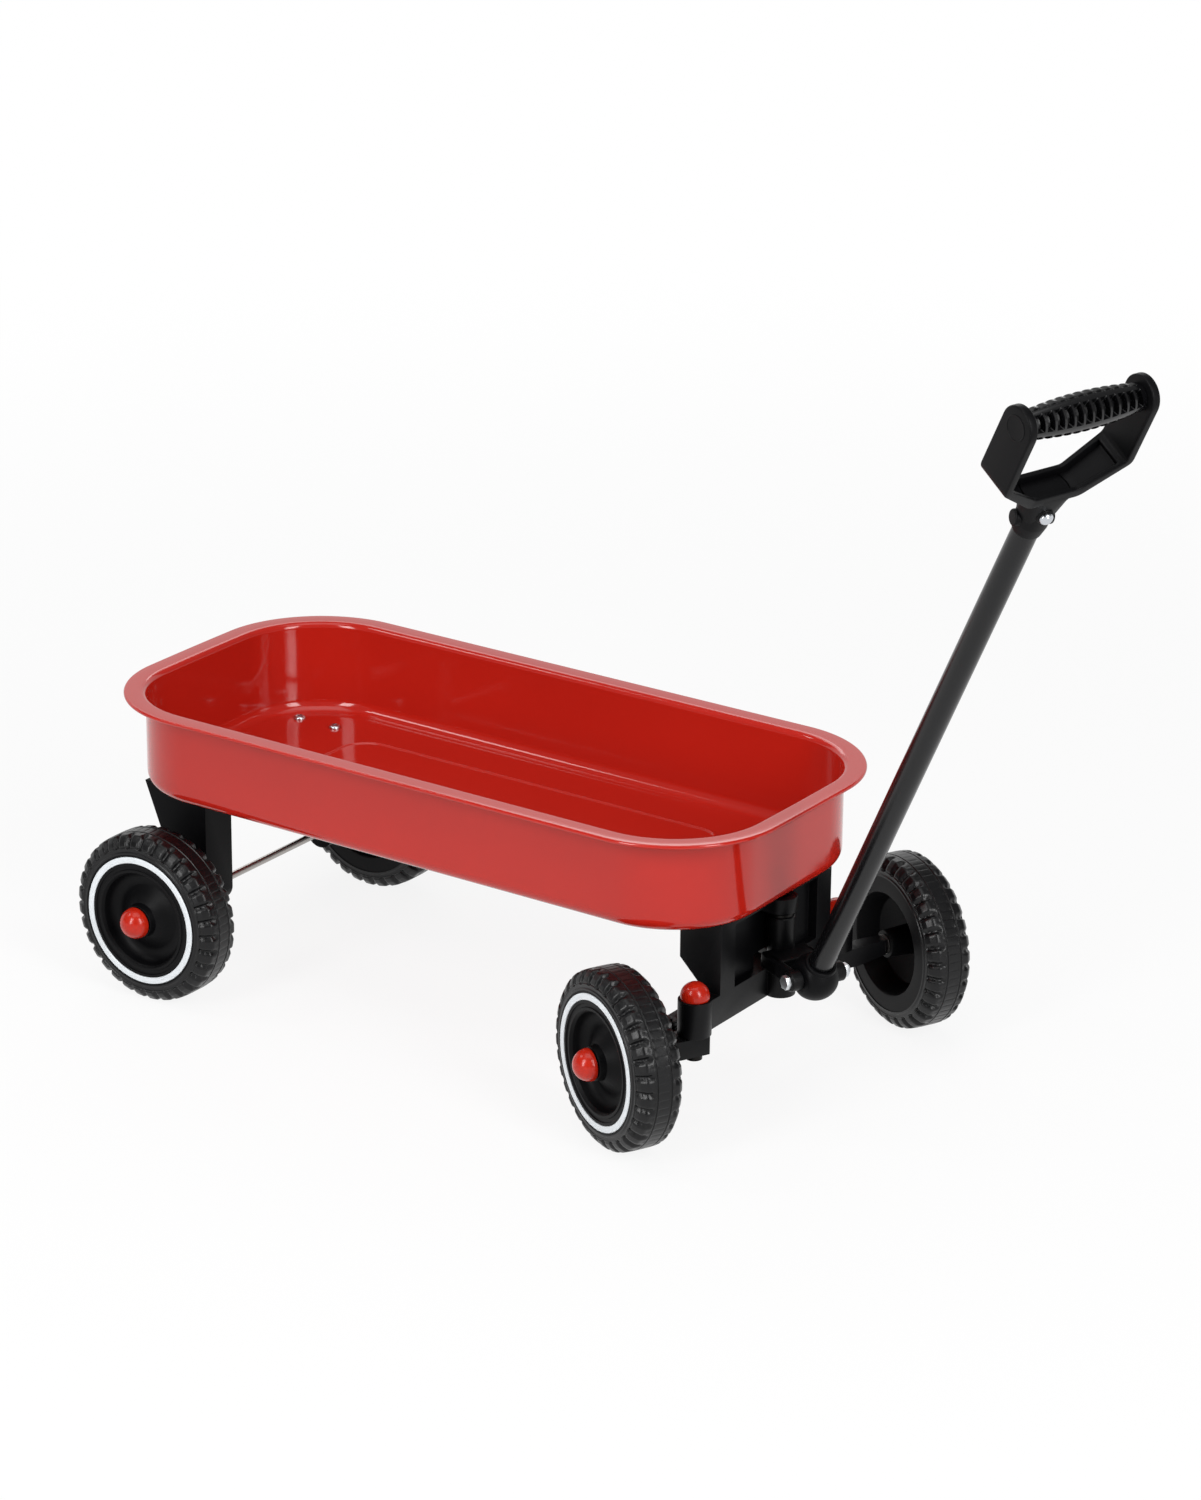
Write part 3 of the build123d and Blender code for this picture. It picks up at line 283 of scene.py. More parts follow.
# Half of the tyre's section, without its blocks, from the middle of the tread to the bead:
# (distance from the middle, radius, corner radius).
TYRE_SECTION = [
    (0, WHEEL_R, 0),
    # groove round the tread
    (5.2, WHEEL_R, 0.4), (5.6, 69.3, 0.3), (6.4, 69.3, 0.3), (6.8, WHEEL_R, 0.4),
    # shoulder
    (13.2, 69.6, 4.0), (17.4, 65.1, 2.5), (19.1, 61.6, 0.8),
    # side wall with a groove and a ridge, down to the bead
    (18.8, 61.1, 0.3), (18.8, 60.6, 0.3), (19.5, 60.1, 0.3), (19.5, 59.4, 0.3),
    (19.1, 59.0, 0.4), (19.1, 57.2, 0.6), (19.9, 56.4, 0.5), (TYRE_HALF_WIDTH, RIM_SEAT_R, 0),
]
SECTION_STEP = 1.8
# Places round half a block, closest together at the gap between blocks.
BLOCK_STEPS = [0.0, 0.03, 0.06, 0.09, 0.13, 0.17, 0.22, 0.35, 0.47]
# The tread's cuts: each pair gives the two places between which a cut grows or dies away.
SCALLOP_DEPTH = 2.8
SCALLOP_EDGE = (0.6, 3.0)
SCALLOP_INNER_END = (8.0, 10.5)
SCALLOP_LOWER_END = (58.9, 61.4)
SIPE_DEPTH = 0.25
SIPE_EDGE = (0.25, 0.8)
SIPE_OUTER_END = (8.5, 9.5)
GROOVE_NEAR_SIDE = (4.6, 5.2)
GROOVE_FAR_SIDE = (6.8, 7.4)
WALL_SHARE = 0.35
WALL_TO_TREAD_R = (60.0, 68.0)
WALL_PULL = 0.035
TREAD_EDGE_R = (66.0, 70.0)
# Section of the disc: (radius, distance out from its middle, corner radius).
DISC_SECTION = [
    # hub's inner end, web and the rim's inner edge
    (BORE_R, -20.0, 0), (11.0, -20.0, 0.6), (12.5, 8.3, 1.5), (36.0, -1.0, 2.0),
    (42.0, -19.5, 1.2), (RIM_SEAT_R, -19.5, 0.3), (RIM_SEAT_R, 20.0, 0.4),
    # seat of the trim ring
    (53.4, 20.0, 0.2), (53.4, 18.5, 0), (47.8, 18.5, 0), (47.8, 19.9, 0.3),
    # stepped lip
    (45.6, 19.9, 0.3), (45.2, 18.9, 0.2), (42.6, 18.9, 0.3), (42.2, 19.8, 0.3), (40.3, 19.8, 0.7),
    # dish, rising to the hub's outer end
    (38.6, 17.6, 0.8), (35.6, 4.2, 8.0), (24.0, 9.4, 30.0), (14.0, 17.2, 1.2),
    (13.0, 22.9, 0.6), (BORE_R, 22.9, 0),
]
TRIM_RING_SECTION = [
    (50.6, 18.6, 0), (48.0, 18.6, 0), (48.0, 20.5, 0.7), (53.2, 20.5, 0.7), (53.2, 18.6, 0),
    (50.6, 18.6, 0),
]
CAP_R = 12.7
CAP_SIDE = 0.8
CAP_SEAT = 24.2
CAP_WALL = 3.0
CAP_RECESS = 0.3
CAP_EDGE = 0.5
DOME_STEPS = 20


def turned(profile, place=Matrix.Identity(4), segments=64):
    """Surface of revolution about Z from (radius, height) points; the profile closes on
    itself, unless it starts and ends on the axis."""
    angles = [2 * pi * k / segments for k in range(segments)]
    rings = [[tuple(place @ Vector((r * cos(a), r * sin(a), z))) for r, z in profile]
             for a in angles]
    points, faces = skin(rings, closed=True)
    if profile[0][0] == 0:
        faces = [face for face in faces if face[0] % len(profile) != len(profile) - 1]
    return points, faces


def lathe(name, profile, place, segments=128):
    """One turned piece."""
    return build(name, *turned(profile, segments=segments), place)


def outward_place(joint_name, side):
    """Frame of a wheel: origin at its centre, Z along its axle away from the wagon."""
    joint = joints[joint_name]
    out = Vector(joint["axis"]) * side
    level = Vector((0, 0, 1)).cross(out)
    turn = Matrix((level, out.cross(level), out)).transposed().to_4x4()
    return Matrix.Translation(Vector(joint["pos_m"])) @ turn


def smooth_step(low, high, value):
    """Rise from 0 at low to 1 at high, level at both ends."""
    share = min(1.0, max(0.0, (value - low) / (high - low)))
    return share * share * (3 - 2 * share)


def tyre_profile():
    """Whole section of the tyre, from its inner bead round the tread to its outer bead."""
    outer = rounded(TYRE_SECTION, step=15)
    dense = []
    for here, after in zip(outer, outer[1:]):
        pieces = max(1, ceil((after - here).length / SECTION_STEP))
        dense += [here.lerp(after, k / pieces) for k in range(pieces)]
    dense.append(outer[-1])
    half = [(p.y, p.x) for p in dense]
    return [(r, -z) for r, z in reversed(half)] + half[1:]


def tread_cut(radius, height, phase):
    """Depth of the tread's cuts at a place on the tyre; phase counts the blocks round it."""
    side = abs(height)
    shoulder_phase = phase if height > 0 else phase + 0.5
    from_gap = abs((shoulder_phase + 0.5) % 1 - 0.5) * 2 * pi * WHEEL_R / LUGS
    scallop = SCALLOP_DEPTH * (1 - smooth_step(*SCALLOP_EDGE, from_gap))
    scallop *= smooth_step(*SCALLOP_INNER_END, side) * smooth_step(*SCALLOP_LOWER_END, radius)
    from_sipe = abs((2 * phase + 0.5) % 1 - 0.5) * pi * WHEEL_R / LUGS
    sipe = SIPE_DEPTH * (1 - smooth_step(*SIPE_EDGE, from_sipe))
    sipe *= 1 - smooth_step(*SIPE_OUTER_END, side)
    sipe *= smooth_step(*GROOVE_FAR_SIDE, side) + 1 - smooth_step(*GROOVE_NEAR_SIDE, side)
    return max(scallop, sipe)


def tyre(name, place):
    """Tyre with blocky shoulders: its section is carried round and cut between blocks."""
    profile = tyre_profile()
    rings = []
    for block in range(LUGS):
        for step in BLOCK_STEPS + [step + 0.5 for step in BLOCK_STEPS]:
            angle = 2 * pi * (block + step) / LUGS
            ring = []
            for radius, height in profile:
                cut = tread_cut(radius, height, block + step)
                across = smooth_step(*WALL_TO_TREAD_R, radius)
                r = radius - cut * (WALL_SHARE + (1 - WALL_SHARE) * across)
                z = height * (1 - WALL_PULL * cut * (1 - smooth_step(*TREAD_EDGE_R, radius)))
                ring.append((r * cos(angle), r * sin(angle), z))
            rings.append(ring)
    return build(name, *skin(rings, closed=True), place, sharp=50)


def cap_profile(radius, side):
    """Push-on cap standing on its mouth: short straight side, then a full dome."""
    mouth = [(0.0, CAP_RECESS), (radius - CAP_WALL, CAP_RECESS), (radius - CAP_WALL, 0.0),
             (radius - CAP_EDGE, 0.0), (radius - CAP_EDGE * 0.3, CAP_EDGE * 0.3),
             (radius, CAP_EDGE)]
    turns = [pi / 2 * k / DOME_STEPS for k in range(DOME_STEPS)]
    dome = [(radius * cos(turn), side + radius * sin(turn)) for turn in turns]
    return mouth + dome + [(0.0, side + radius)]


def tyre_pvc():
    """Soft moulded PVC: black with a waxy, faintly uneven sheen and a 1 mm moulded grain."""
    material, shader = surface("moulded_tyre_pvc", IOR=1.5, Specular_IOR_Level=0.32)
    where = add(material, "ShaderNodeTexCoord").outputs["Object"]
    patch = add(material, "ShaderNodeTexNoise", {
        "Vector": where, "Scale": scale_of(16.7), "Detail": 3.0})
    tone = add(material, "ShaderNodeMix", {
        "Factor": patch.outputs["Fac"], "A": linear("#040405"), "B": linear("#09090B"),
    }, data_type="RGBA")
    gloss = add(material, "ShaderNodeMapRange", {
        "Value": patch.outputs["Fac"], "To Min": 0.24, "To Max": 0.42})
    grain = add(material, "ShaderNodeTexNoise", {
        "Vector": where, "Scale": scale_of(1.11), "Detail": 2.0})
    bump = add(material, "ShaderNodeBump", {
        "Height": grain.outputs["Fac"], "Strength": 0.25, "Distance": 0.3 * MM})
    wire(material, shader, Base_Color=tone.outputs["Result"], Roughness=gloss.outputs["Result"],
         Normal=bump.outputs["Normal"])
    return material


def moulded_black(name, roughness, grain_size, shine=0.12, texture=0.18):
    """Injection-moulded polypropylene: black, satin, with its mould's fine spark texture,
    drawn coarser than the real one so that it shows."""
    material, shader = surface(name, IOR=1.49, Specular_IOR_Level=shine)
    where = add(material, "ShaderNodeTexCoord").outputs["Object"]
    flow = add(material, "ShaderNodeTexNoise", {
        "Vector": where, "Scale": scale_of(40), "Detail": 2.0})
    tone = add(material, "ShaderNodeMix", {
        "Factor": flow.outputs["Fac"], "A": linear("#040405"), "B": linear("#08080A"),
    }, data_type="RGBA")
    gloss = add(material, "ShaderNodeMapRange", {
        "Value": flow.outputs["Fac"], "To Min": roughness - 0.04, "To Max": roughness + 0.05})
    grain = add(material, "ShaderNodeTexNoise", {
        "Vector": where, "Scale": scale_of(grain_size), "Detail": 3.0})
    bump = add(material, "ShaderNodeBump", {
        "Height": grain.outputs["Fac"], "Strength": texture, "Distance": 0.2 * MM})
    wire(material, shader, Base_Color=tone.outputs["Result"], Roughness=gloss.outputs["Result"],
         Normal=bump.outputs["Normal"])
    return material


def white_polystyrene():
    """Moulded white polystyrene: clean, slightly cool, semi-gloss."""
    material, shader = surface("white_polystyrene", Roughness=0.3, IOR=1.55)
    where = add(material, "ShaderNodeTexCoord").outputs["Object"]
    patch = add(material, "ShaderNodeTexNoise", {
        "Vector": where, "Scale": scale_of(12.5), "Detail": 2.0})
    tone = add(material, "ShaderNodeMix", {
        "Factor": patch.outputs["Fac"], "A": linear("#D3D9DD"), "B": linear("#E0E4E7"),
    }, data_type="RGBA")
    wire(material, shader, Base_Color=tone.outputs["Result"])
    return material


def red_polyethylene():
    """Moulded red polyethylene: waxy gloss that lets a little light in, faint flow marks."""
    material, shader = surface(
        "red_polyethylene", Roughness=0.2, IOR=1.51, Specular_IOR_Level=0.35,
        Subsurface_Weight=0.08, Subsurface_Scale=2 * MM)
    where = add(material, "ShaderNodeTexCoord").outputs["Object"]
    flow = add(material, "ShaderNodeTexNoise", {
        "Vector": where, "Scale": scale_of(8.33), "Detail": 2.0})
    tone = add(material, "ShaderNodeMix", {
        "Factor": flow.outputs["Fac"], "A": linear("#A61A0B"), "B": linear("#B82410"),
    }, data_type="RGBA")
    wire(material, shader, Base_Color=tone.outputs["Result"])
    return material


def drawn_steel():
    """Cold-drawn mild steel bar: bright, with draw lines 0.4 mm apart along it."""
    material, shader = surface("drawn_steel", Metallic=1.0)
    where = add(material, "ShaderNodeTexCoord").outputs["Object"]
    along = add(material, "ShaderNodeMapping", {
        "Vector": where, "Scale": (scale_of(0.4), scale_of(83.3), scale_of(0.4))})
    lines = add(material, "ShaderNodeTexNoise", {
        "Vector": along.outputs["Vector"], "Scale": 1.0, "Detail": 2.0})
    tone = add(material, "ShaderNodeMix", {
        "Factor": lines.outputs["Fac"], "A": linear("#8E8A86"), "B": linear("#C4C0BC"),
    }, data_type="RGBA")
    gloss = add(material, "ShaderNodeMapRange", {
        "Value": lines.outputs["Fac"], "To Min": 0.2, "To Max": 0.38})
    wire(material, shader, Base_Color=tone.outputs["Result"], Roughness=gloss.outputs["Result"])
    return material


def paint(name, material):
    """Give a solid that stays as it is its finish."""
    mesh = nodes[name].data
    mesh.materials.clear()
    mesh.materials.append(material)


TYRE_PVC = tyre_pvc()
WHEEL_BLACK = moulded_black("satin_wheel_moulding", 0.46, 0.714)
WHITE_RING = white_polystyrene()
CAP_RED = red_polyethylene()
BAR_STEEL = drawn_steel()
disc_profile = rounded(DISC_SECTION)
trim_ring_profile = rounded(TRIM_RING_SECTION, step=15)[:-1]

for end in ("rear", "front"):
    for side_name, side in SIDES.items():
        which = f"{end}_{side_name}"
        body = f"wheel_{which}"
        axle_body = "chassis" if end == "rear" else f"knuckle_{side_name}"
        place = outward_place(f"wheel_{which}_spin", side)
        dress(tyre(f"tyre_moulding_{which}", place), TYRE_PVC, body, "tyre_rubber",
              f"tyre_{which}")
        dress(lathe(f"wheel_moulding_{which}", disc_profile, place), WHEEL_BLACK, body,
              "wheel_plastic", f"wheel_{which}")
        dress(lathe(f"trim_ring_{which}", trim_ring_profile, place), WHITE_RING, body,
              "white_plastic", f"white_ring_{which}")
        cap_place = place @ Matrix.Translation((0, 0, CAP_SEAT * MM))
        dress(lathe(f"hub_cap_{which}", cap_profile(CAP_R, CAP_SIDE), cap_place, segments=96),
              CAP_RED, axle_body, "red_plastic", f"wheel_cap_{which}")
        paint(f"washers_{which}", BAR_STEEL)


# ---- running gear -------------------------------------------------------------------------
# Rear legs, front bolster, knuckles and linkage: injection mouldings in black polypropylene
# with softened edges, carried on plain steel pins.
LEG_EDGE = 0.9
KNUCKLE_EDGE = 0.7
TIE_ROD_EDGE = 0.6
SOLID_MERGE_WITHIN = 2e-6
FLAT_WITHIN = 1.0
BEVEL_FROM = 28.0


def softened(node_name, width, segments=3):
    """Copy of a solid with its sharp edges rounded."""
    mesh = nodes[node_name].data.copy()
    mesh.name = node_name + "_rounded"
    made = bpy.data.objects.new(node_name + "_rounded", mesh)
    bpy.context.scene.collection.objects.link(made)
    work = bmesh.new()
    work.from_mesh(mesh)
    bmesh.ops.remove_doubles(work, verts=work.verts, dist=SOLID_MERGE_WITHIN)
    bmesh.ops.dissolve_limit(work, angle_limit=radians(FLAT_WITHIN), verts=work.verts,
                             edges=work.edges)
    bmesh.ops.recalc_face_normals(work, faces=work.faces)
    for face in work.faces:
        face.smooth = True
    for edge in work.edges:
        edge.smooth = True
    work.to_mesh(mesh)
    work.free()
    bevel = made.modifiers.new("edge_round", "BEVEL")
    bevel.width = width * MM
    bevel.segments = segments
    bevel.limit_method = "ANGLE"
    bevel.angle_limit = radians(BEVEL_FROM)
    bevel.harden_normals = True
    bevel.use_clamp_overlap = True
    return made


def blacked_steel():
    """Steel blacked in hot oxide and oiled: nearly black, with a dull metallic sheen."""
    material, shader = surface("oiled_black_oxide", Metallic=1.0)
    where = add(material, "ShaderNodeTexCoord").outputs["Object"]
    patch = add(material, "ShaderNodeTexNoise", {
        "Vector": where, "Scale": scale_of(3.33), "Detail": 3.0})
    tone = add(material, "ShaderNodeMix", {
        "Factor": patch.outputs["Fac"], "A": linear("#1B1A1A"), "B": linear("#2A2928"),
    }, data_type="RGBA")
    gloss = add(material, "ShaderNodeMapRange", {
        "Value": patch.outputs["Fac"], "To Min": 0.3, "To Max": 0.45})
    wire(material, shader, Base_Color=tone.outputs["Result"], Roughness=gloss.outputs["Result"])
    return material


GEAR_BLACK = moulded_black("satin_gear_moulding", 0.40, 0.909, shine=0.18)
LEG_BLACK = moulded_black("matt_leg_moulding", 0.42, 0.909, shine=0.06)
for name, black in (("rear_leg_right", LEG_BLACK), ("rear_leg_left", LEG_BLACK),
                    ("front_bolster", GEAR_BLACK)):
    dress(softened(name, LEG_EDGE), black, "chassis", "black_plastic", name)
for side_name in SIDES:
    name = f"knuckle_{side_name}"
    dress(softened(name, KNUCKLE_EDGE), GEAR_BLACK, name, "black_plastic", name)
dress(softened("tie_rod", TIE_ROD_EDGE), GEAR_BLACK, "tie_rod", "black_plastic", "tie_rod")

for name in ("rear_axle", "stub_axle_right", "stub_axle_left"):
    paint(name, BAR_STEEL)
BLACKED_STEEL = blacked_steel()
for name in ("steering_pin", "steering_collar", "tie_rod_clip_centre"):
    paint(name, BLACKED_STEEL)
for side_name in SIDES:
    for name in ("kingpin", "tie_rod_clip"):
        paint(f"{name}_{side_name}", BLACKED_STEEL)
    cap_low, cap_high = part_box(f"kingpin_cap_{side_name}")
    foot = Vector(((cap_low.x + cap_high.x) / 2, (cap_low.y + cap_high.y) / 2, cap_low.z))
    radius = (cap_high.x - cap_low.x) / 2 / MM
    side_height = (cap_high.z - cap_low.z) / MM - radius
    dress(lathe(f"kingpin_dome_{side_name}", cap_profile(radius, side_height),
                Matrix.Translation(foot), segments=96),
          CAP_RED, "chassis", "red_plastic", f"kingpin_cap_{side_name}")


# ---- drawbar yoke -------------------------------------------------------------------------
# One polypropylene moulding that turns on the steering pin: a sleeve, a fork whose two round
# ears carry the handle's pivot bolt, and a tail bar whose stud pushes the tie rod.
HITCH_REACH = 50.2
HITCH_Z = 109.8
EAR_INSIDE = 14.6
EAR_OUTSIDE = 23.9
EAR_R = 7.8
EAR_OVERLAP = 0.4
ARM_OUTSIDE = 20.0
ARM_START = 12.0
ARM_END = HITCH_REACH - 1.0
ARM_EDGE = 1.6
FORK_START = 3.0
FORK_END = 27.0
FORK_HALF_HEIGHT = 6.6
FORK_EDGE = 2.2
YOKE_BORE_R = 5.1
YOKE_SLEEVE_R = 10.5
YOKE_BOTTOM_Z = 101.4
YOKE_TOP_Z = 142.0
TAIL_START = 4.0
TAIL_REACH = 38.0
TAIL_HALF_WIDTH = 6.5
TAIL_BOTTOM_Z = 103.0
TAIL_TOP_Z = 111.0
TAIL_EDGE = 1.4
STUD_R = 3.0
STUD_SHOULDER_R = 5.5
STUD_BOTTOM_Z = 65.0
STUD_SHOULDER_Z = 72.0
STUD_TOP_Z = 104.0
EDGE_STEPS = 3
LEAST_CORNER_R = 0.02


def united(name, shells, place, sharp=35.0):
    """One mesh of several closed shells."""
    points, faces = [], []
    for shell_points, shell_faces in shells:
        faces += [tuple(k + len(points) for k in face) for face in shell_faces]
        points += shell_points
    return build(name, points, faces, place, sharp)


def soft_block(low, high, edge):
    """Block between two corners with every edge rounded."""
    middle = [(a + b) / 2 for a, b in zip(low, high)]
    half = [(b - a) / 2 for a, b in zip(low, high)]
    turns = [pi / 2 * k / EDGE_STEPS for k in range(EDGE_STEPS + 1)]
    levels = [(edge * (1 - sin(t)), -half[2] + edge * (1 - cos(t))) for t in turns]
    levels += [(inset, -z) for inset, z in reversed(levels)]
    rings = []
    for inset, z in levels:
        corner_r = max(edge - inset, LEAST_CORNER_R)
        ring = []
        for quarter in range(4):
            x = middle[0] + (half[0] - edge) * (1 if quarter in (0, 3) else -1)
            y = middle[1] + (half[1] - edge) * (1 if quarter in (0, 1) else -1)
            for turn in turns:
                angle = quarter * pi / 2 + turn
                ring.append((x + corner_r * cos(angle), y + corner_r * sin(angle), middle[2] + z))
        rings.append(ring)
    return skin(rings)


def yoke_shells():
    """Shells of the yoke in its own frame: sleeve, fork, arms with their ears, tail, stud."""
    fork_bottom = HITCH_Z - FORK_HALF_HEIGHT
    fork_top = HITCH_Z + FORK_HALF_HEIGHT
    sleeve_section = rounded([
        (YOKE_BORE_R, YOKE_BOTTOM_Z, 0), (YOKE_SLEEVE_R, YOKE_BOTTOM_Z, 0.8),
        (YOKE_SLEEVE_R, YOKE_TOP_Z, 1.2), (YOKE_BORE_R, YOKE_TOP_Z, 0.4),
    ])
    ear_section = rounded([
        (0.0, EAR_INSIDE - EAR_OVERLAP, 0), (EAR_R, EAR_INSIDE - EAR_OVERLAP, 0.6),
        (EAR_R, EAR_OUTSIDE, 1.6), (0.0, EAR_OUTSIDE, 0),
    ])
    tail_end_section = rounded([
        (0.0, TAIL_BOTTOM_Z, 0), (TAIL_HALF_WIDTH, TAIL_BOTTOM_Z, 0.8),
        (TAIL_HALF_WIDTH, TAIL_TOP_Z, 1.2), (0.0, TAIL_TOP_Z, 0),
    ])
    stud_section = rounded([
        (0.0, STUD_BOTTOM_Z, 0), (STUD_R, STUD_BOTTOM_Z, 0.5), (STUD_R, STUD_SHOULDER_Z, 0),
        (STUD_SHOULDER_R, STUD_SHOULDER_Z, 0.8), (STUD_SHOULDER_R, STUD_TOP_Z, 0),
        (0.0, STUD_TOP_Z, 0),
    ])
    tail_end = Matrix.Translation((-TAIL_REACH, 0, 0))
    shells = [
        turned(sleeve_section),
        soft_block((FORK_START, -ARM_OUTSIDE, fork_bottom),
                   (FORK_END, ARM_OUTSIDE, fork_top), FORK_EDGE),
    ]
    for side in SIDES.values():
        near, far = sorted((side * EAR_INSIDE, side * ARM_OUTSIDE))
        shells.append(soft_block((ARM_START, near, fork_bottom), (ARM_END, far, fork_top),
                                 ARM_EDGE))
        out = (Matrix.Translation((HITCH_REACH, 0, HITCH_Z))
               @ Matrix.Rotation(-side * pi / 2, 4, "X"))
        shells.append(turned(ear_section, out, 48))
    shells.append(soft_block((-TAIL_REACH, -TAIL_HALF_WIDTH, TAIL_BOTTOM_Z),
                             (-TAIL_START, TAIL_HALF_WIDTH, TAIL_TOP_Z), TAIL_EDGE))
    shells.append(turned(tail_end_section, tail_end, 48))
    shells.append(turned(stud_section, tail_end, 48))
    return shells


def yoke_place():
    """Frame of the yoke: origin on the floor under its steering pin, X towards the handle."""
    pivot = Vector(joints["handle_tilt"]["pos_m"])
    left = -Vector(joints["handle_tilt"]["axis"])
    up = Vector((0, 0, 1))
    ahead = left.cross(up)
    turn = Matrix((ahead, left, up)).transposed().to_4x4()
    foot = pivot - ahead * HITCH_REACH * MM
    return Matrix.Translation(Vector((foot.x, foot.y, 0))) @ turn


dress(united("yoke_moulding", yoke_shells(), yoke_place(), sharp=50), GEAR_BLACK, "yoke",
      "black_plastic", "drawbar_yoke")


# ---- screws and bolts ---------------------------------------------------------------------
# Zinc-plated steel: bright cross-recess pan heads in the tray's floor, and a duller,
# passivated hex bolt and nut through the yoke's ears, on which the handle tilts.
HEX_EDGE = 0.35


def zinc_plate(name, colour, smoothest, roughest):
    """Zinc plate: silvery, slightly blue, with a crystalline unevenness of 1.4 mm."""
    material, shader = surface(name, Metallic=1.0, Base_Color=linear(colour))
    where = add(material, "ShaderNodeTexCoord").outputs["Object"]
    patch = add(material, "ShaderNodeTexNoise", {
        "Vector": where, "Scale": scale_of(1.43), "Detail": 3.0})
    gloss = add(material, "ShaderNodeMapRange", {
        "Value": patch.outputs["Fac"], "To Min": smoothest, "To Max": roughest})
    wire(material, shader, Roughness=gloss.outputs["Result"])
    return material


ZINC = zinc_plate("bright_zinc_plate", "#C9CDD2", 0.18, 0.34)
paint("tray_screws", ZINC)
DULL_ZINC = zinc_plate("passivated_zinc_plate", "#D2D5D8", 0.36, 0.5)
for name in ("hitch_bolt", "hitch_nut"):
    dress(softened(name, HEX_EDGE, segments=2), DULL_ZINC, "yoke", "zinc_fasteners", name)


# ---- pull handle --------------------------------------------------------------------------
# A 19 mm steel tube in black powder coat, pushed into a ball-ended foot of moulded
# polypropylene that turns on the pivot bolt between the yoke's ears.
TUBE_R = 9.5
TUBE_WALL = 1.3
TUBE_START = 5.0
TUBE_END = 528.0
BALL_R = 18.6
BALL_HALF_WIDTH = 14.1
BALL_TOP_ANGLE = 44.0
BALL_STEPS = 48
BALL_FLATNESS = 14
# Mouth of the foot round the tube, down to the ball: (radius, height, corner radius).
FOOT_MOUTH = [
    (0.0, 12.0, 0), (TUBE_R + 0.1, 12.0, 0), (TUBE_R + 0.1, 16.6, 0.4), (11.9, 16.6, 0.9),
    (12.6, 14.6, 0.5), (12.4, 13.9, 0.4), (13.2, 13.2, 0.3),
]


def handle_frame():
    """Frame of the handle: origin at its pivot, Z along the tube, Y to the left."""
    joint = joints["handle_tilt"]
    pivot = Vector(joint["pos_m"])
    low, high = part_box("handle_tube")
    along = ((low + high) / 2 - pivot).normalized()
    left = -Vector(joint["axis"])
    turn = Matrix((left.cross(along), left, along)).transposed().to_4x4()
    return Matrix.Translation(pivot) @ turn


def powder_coat():
    """Black powder coat on steel tube: even, half-gloss, with a fine ripple of 1 mm."""
    material, shader = surface("black_powder_coat", IOR=1.5, Specular_IOR_Level=0.34)
    where = add(material, "ShaderNodeTexCoord").outputs["Object"]
    ripple = add(material, "ShaderNodeTexNoise", {
        "Vector": where, "Scale": scale_of(1.11), "Detail": 2.0})
    patch = add(material, "ShaderNodeTexNoise", {
        "Vector": where, "Scale": scale_of(71.4), "Detail": 2.0})
    tone = add(material, "ShaderNodeMix", {
        "Factor": patch.outputs["Fac"], "A": linear("#070708"), "B": linear("#0C0C0E"),
    }, data_type="RGBA")
    gloss = add(material, "ShaderNodeMapRange", {
        "Value": patch.outputs["Fac"], "To Min": 0.20, "To Max": 0.27})
    bump = add(material, "ShaderNodeBump", {
        "Height": ripple.outputs["Fac"], "Strength": 0.12, "Distance": 0.2 * MM})
    wire(material, shader, Base_Color=tone.outputs["Result"], Roughness=gloss.outputs["Result"],
         Normal=bump.outputs["Normal"])
    return material


def flattened(value, limit, flatness):
    """Value held within the limit on both sides, with a short curve on the way to it."""
    return value / (1 + abs(value / limit) ** flatness) ** (1 / flatness)


def foot_ball():
    """Ball-ended foot of the tube, flat where the yoke's ears hold it."""
    angles = [radians(BALL_TOP_ANGLE - (BALL_TOP_ANGLE + 90) * k / BALL_STEPS)
              for k in range(BALL_STEPS)]
    bowl = [(BALL_R * cos(a), BALL_R * sin(a)) for a in angles]
    outline = [tuple(p) for p in rounded(FOOT_MOUTH, step=12)] + bowl + [(0.0, -BALL_R)]
    made = lathe("handle_foot_ball", outline, Matrix.Identity(4), segments=96)
    for vertex in made.data.vertices:
        vertex.co.y = flattened(vertex.co.y, BALL_HALF_WIDTH * MM, BALL_FLATNESS)
    made.data.transform(handle_frame())
    return made


tube_profile = rounded([
    (TUBE_R - TUBE_WALL, TUBE_START, 0), (TUBE_R, TUBE_START, 0.4), (TUBE_R, TUBE_END, 0.4),
    (TUBE_R - TUBE_WALL, TUBE_END, 0),
])
dress(lathe("drawbar_tube", tube_profile, handle_frame(), segments=64), powder_coat(),
      "handle", "black_paint", "handle_tube")
HANDLE_BLACK = moulded_black("matt_grip_moulding", 0.44, 1.0)
dress(foot_ball(), HANDLE_BLACK, "handle", "black_plastic", "handle_cup")


# ---- grip ---------------------------------------------------------------------------------
# A D-shaped polypropylene moulding on the tube's end: a channelled lower bar, two flat side
# straps with round tops, and a glossier hand bar with finger pockets, held by a cross bolt.
GRIP_TWIST = 5.4
GRIP_PLACE = handle_frame() @ Matrix.Rotation(radians(GRIP_TWIST), 4, "Z")
GRIP_AXIS_W = 613.0
STRAP_OUTSIDE = 55.5
STRAP_INSIDE = 49.0
STRAP_HALF_DEPTH = 15.6
STRAP_FOOT_W = 562.3
STRAP_FOOT_INNER_W = 565.0
STRAP_TOP_STEPS = 20
LOWER_BAR_HALF_DEPTH = 12.5
LOWER_BAR_W = 536.5
LOWER_BAR_INNER_W = 544.5
LOWER_BAR_BEND = 21.7
LOWER_BAR_INNER_BEND = 19.0
OUTER_EDGE_R = 1.5
INNER_EDGE_R = 0.9
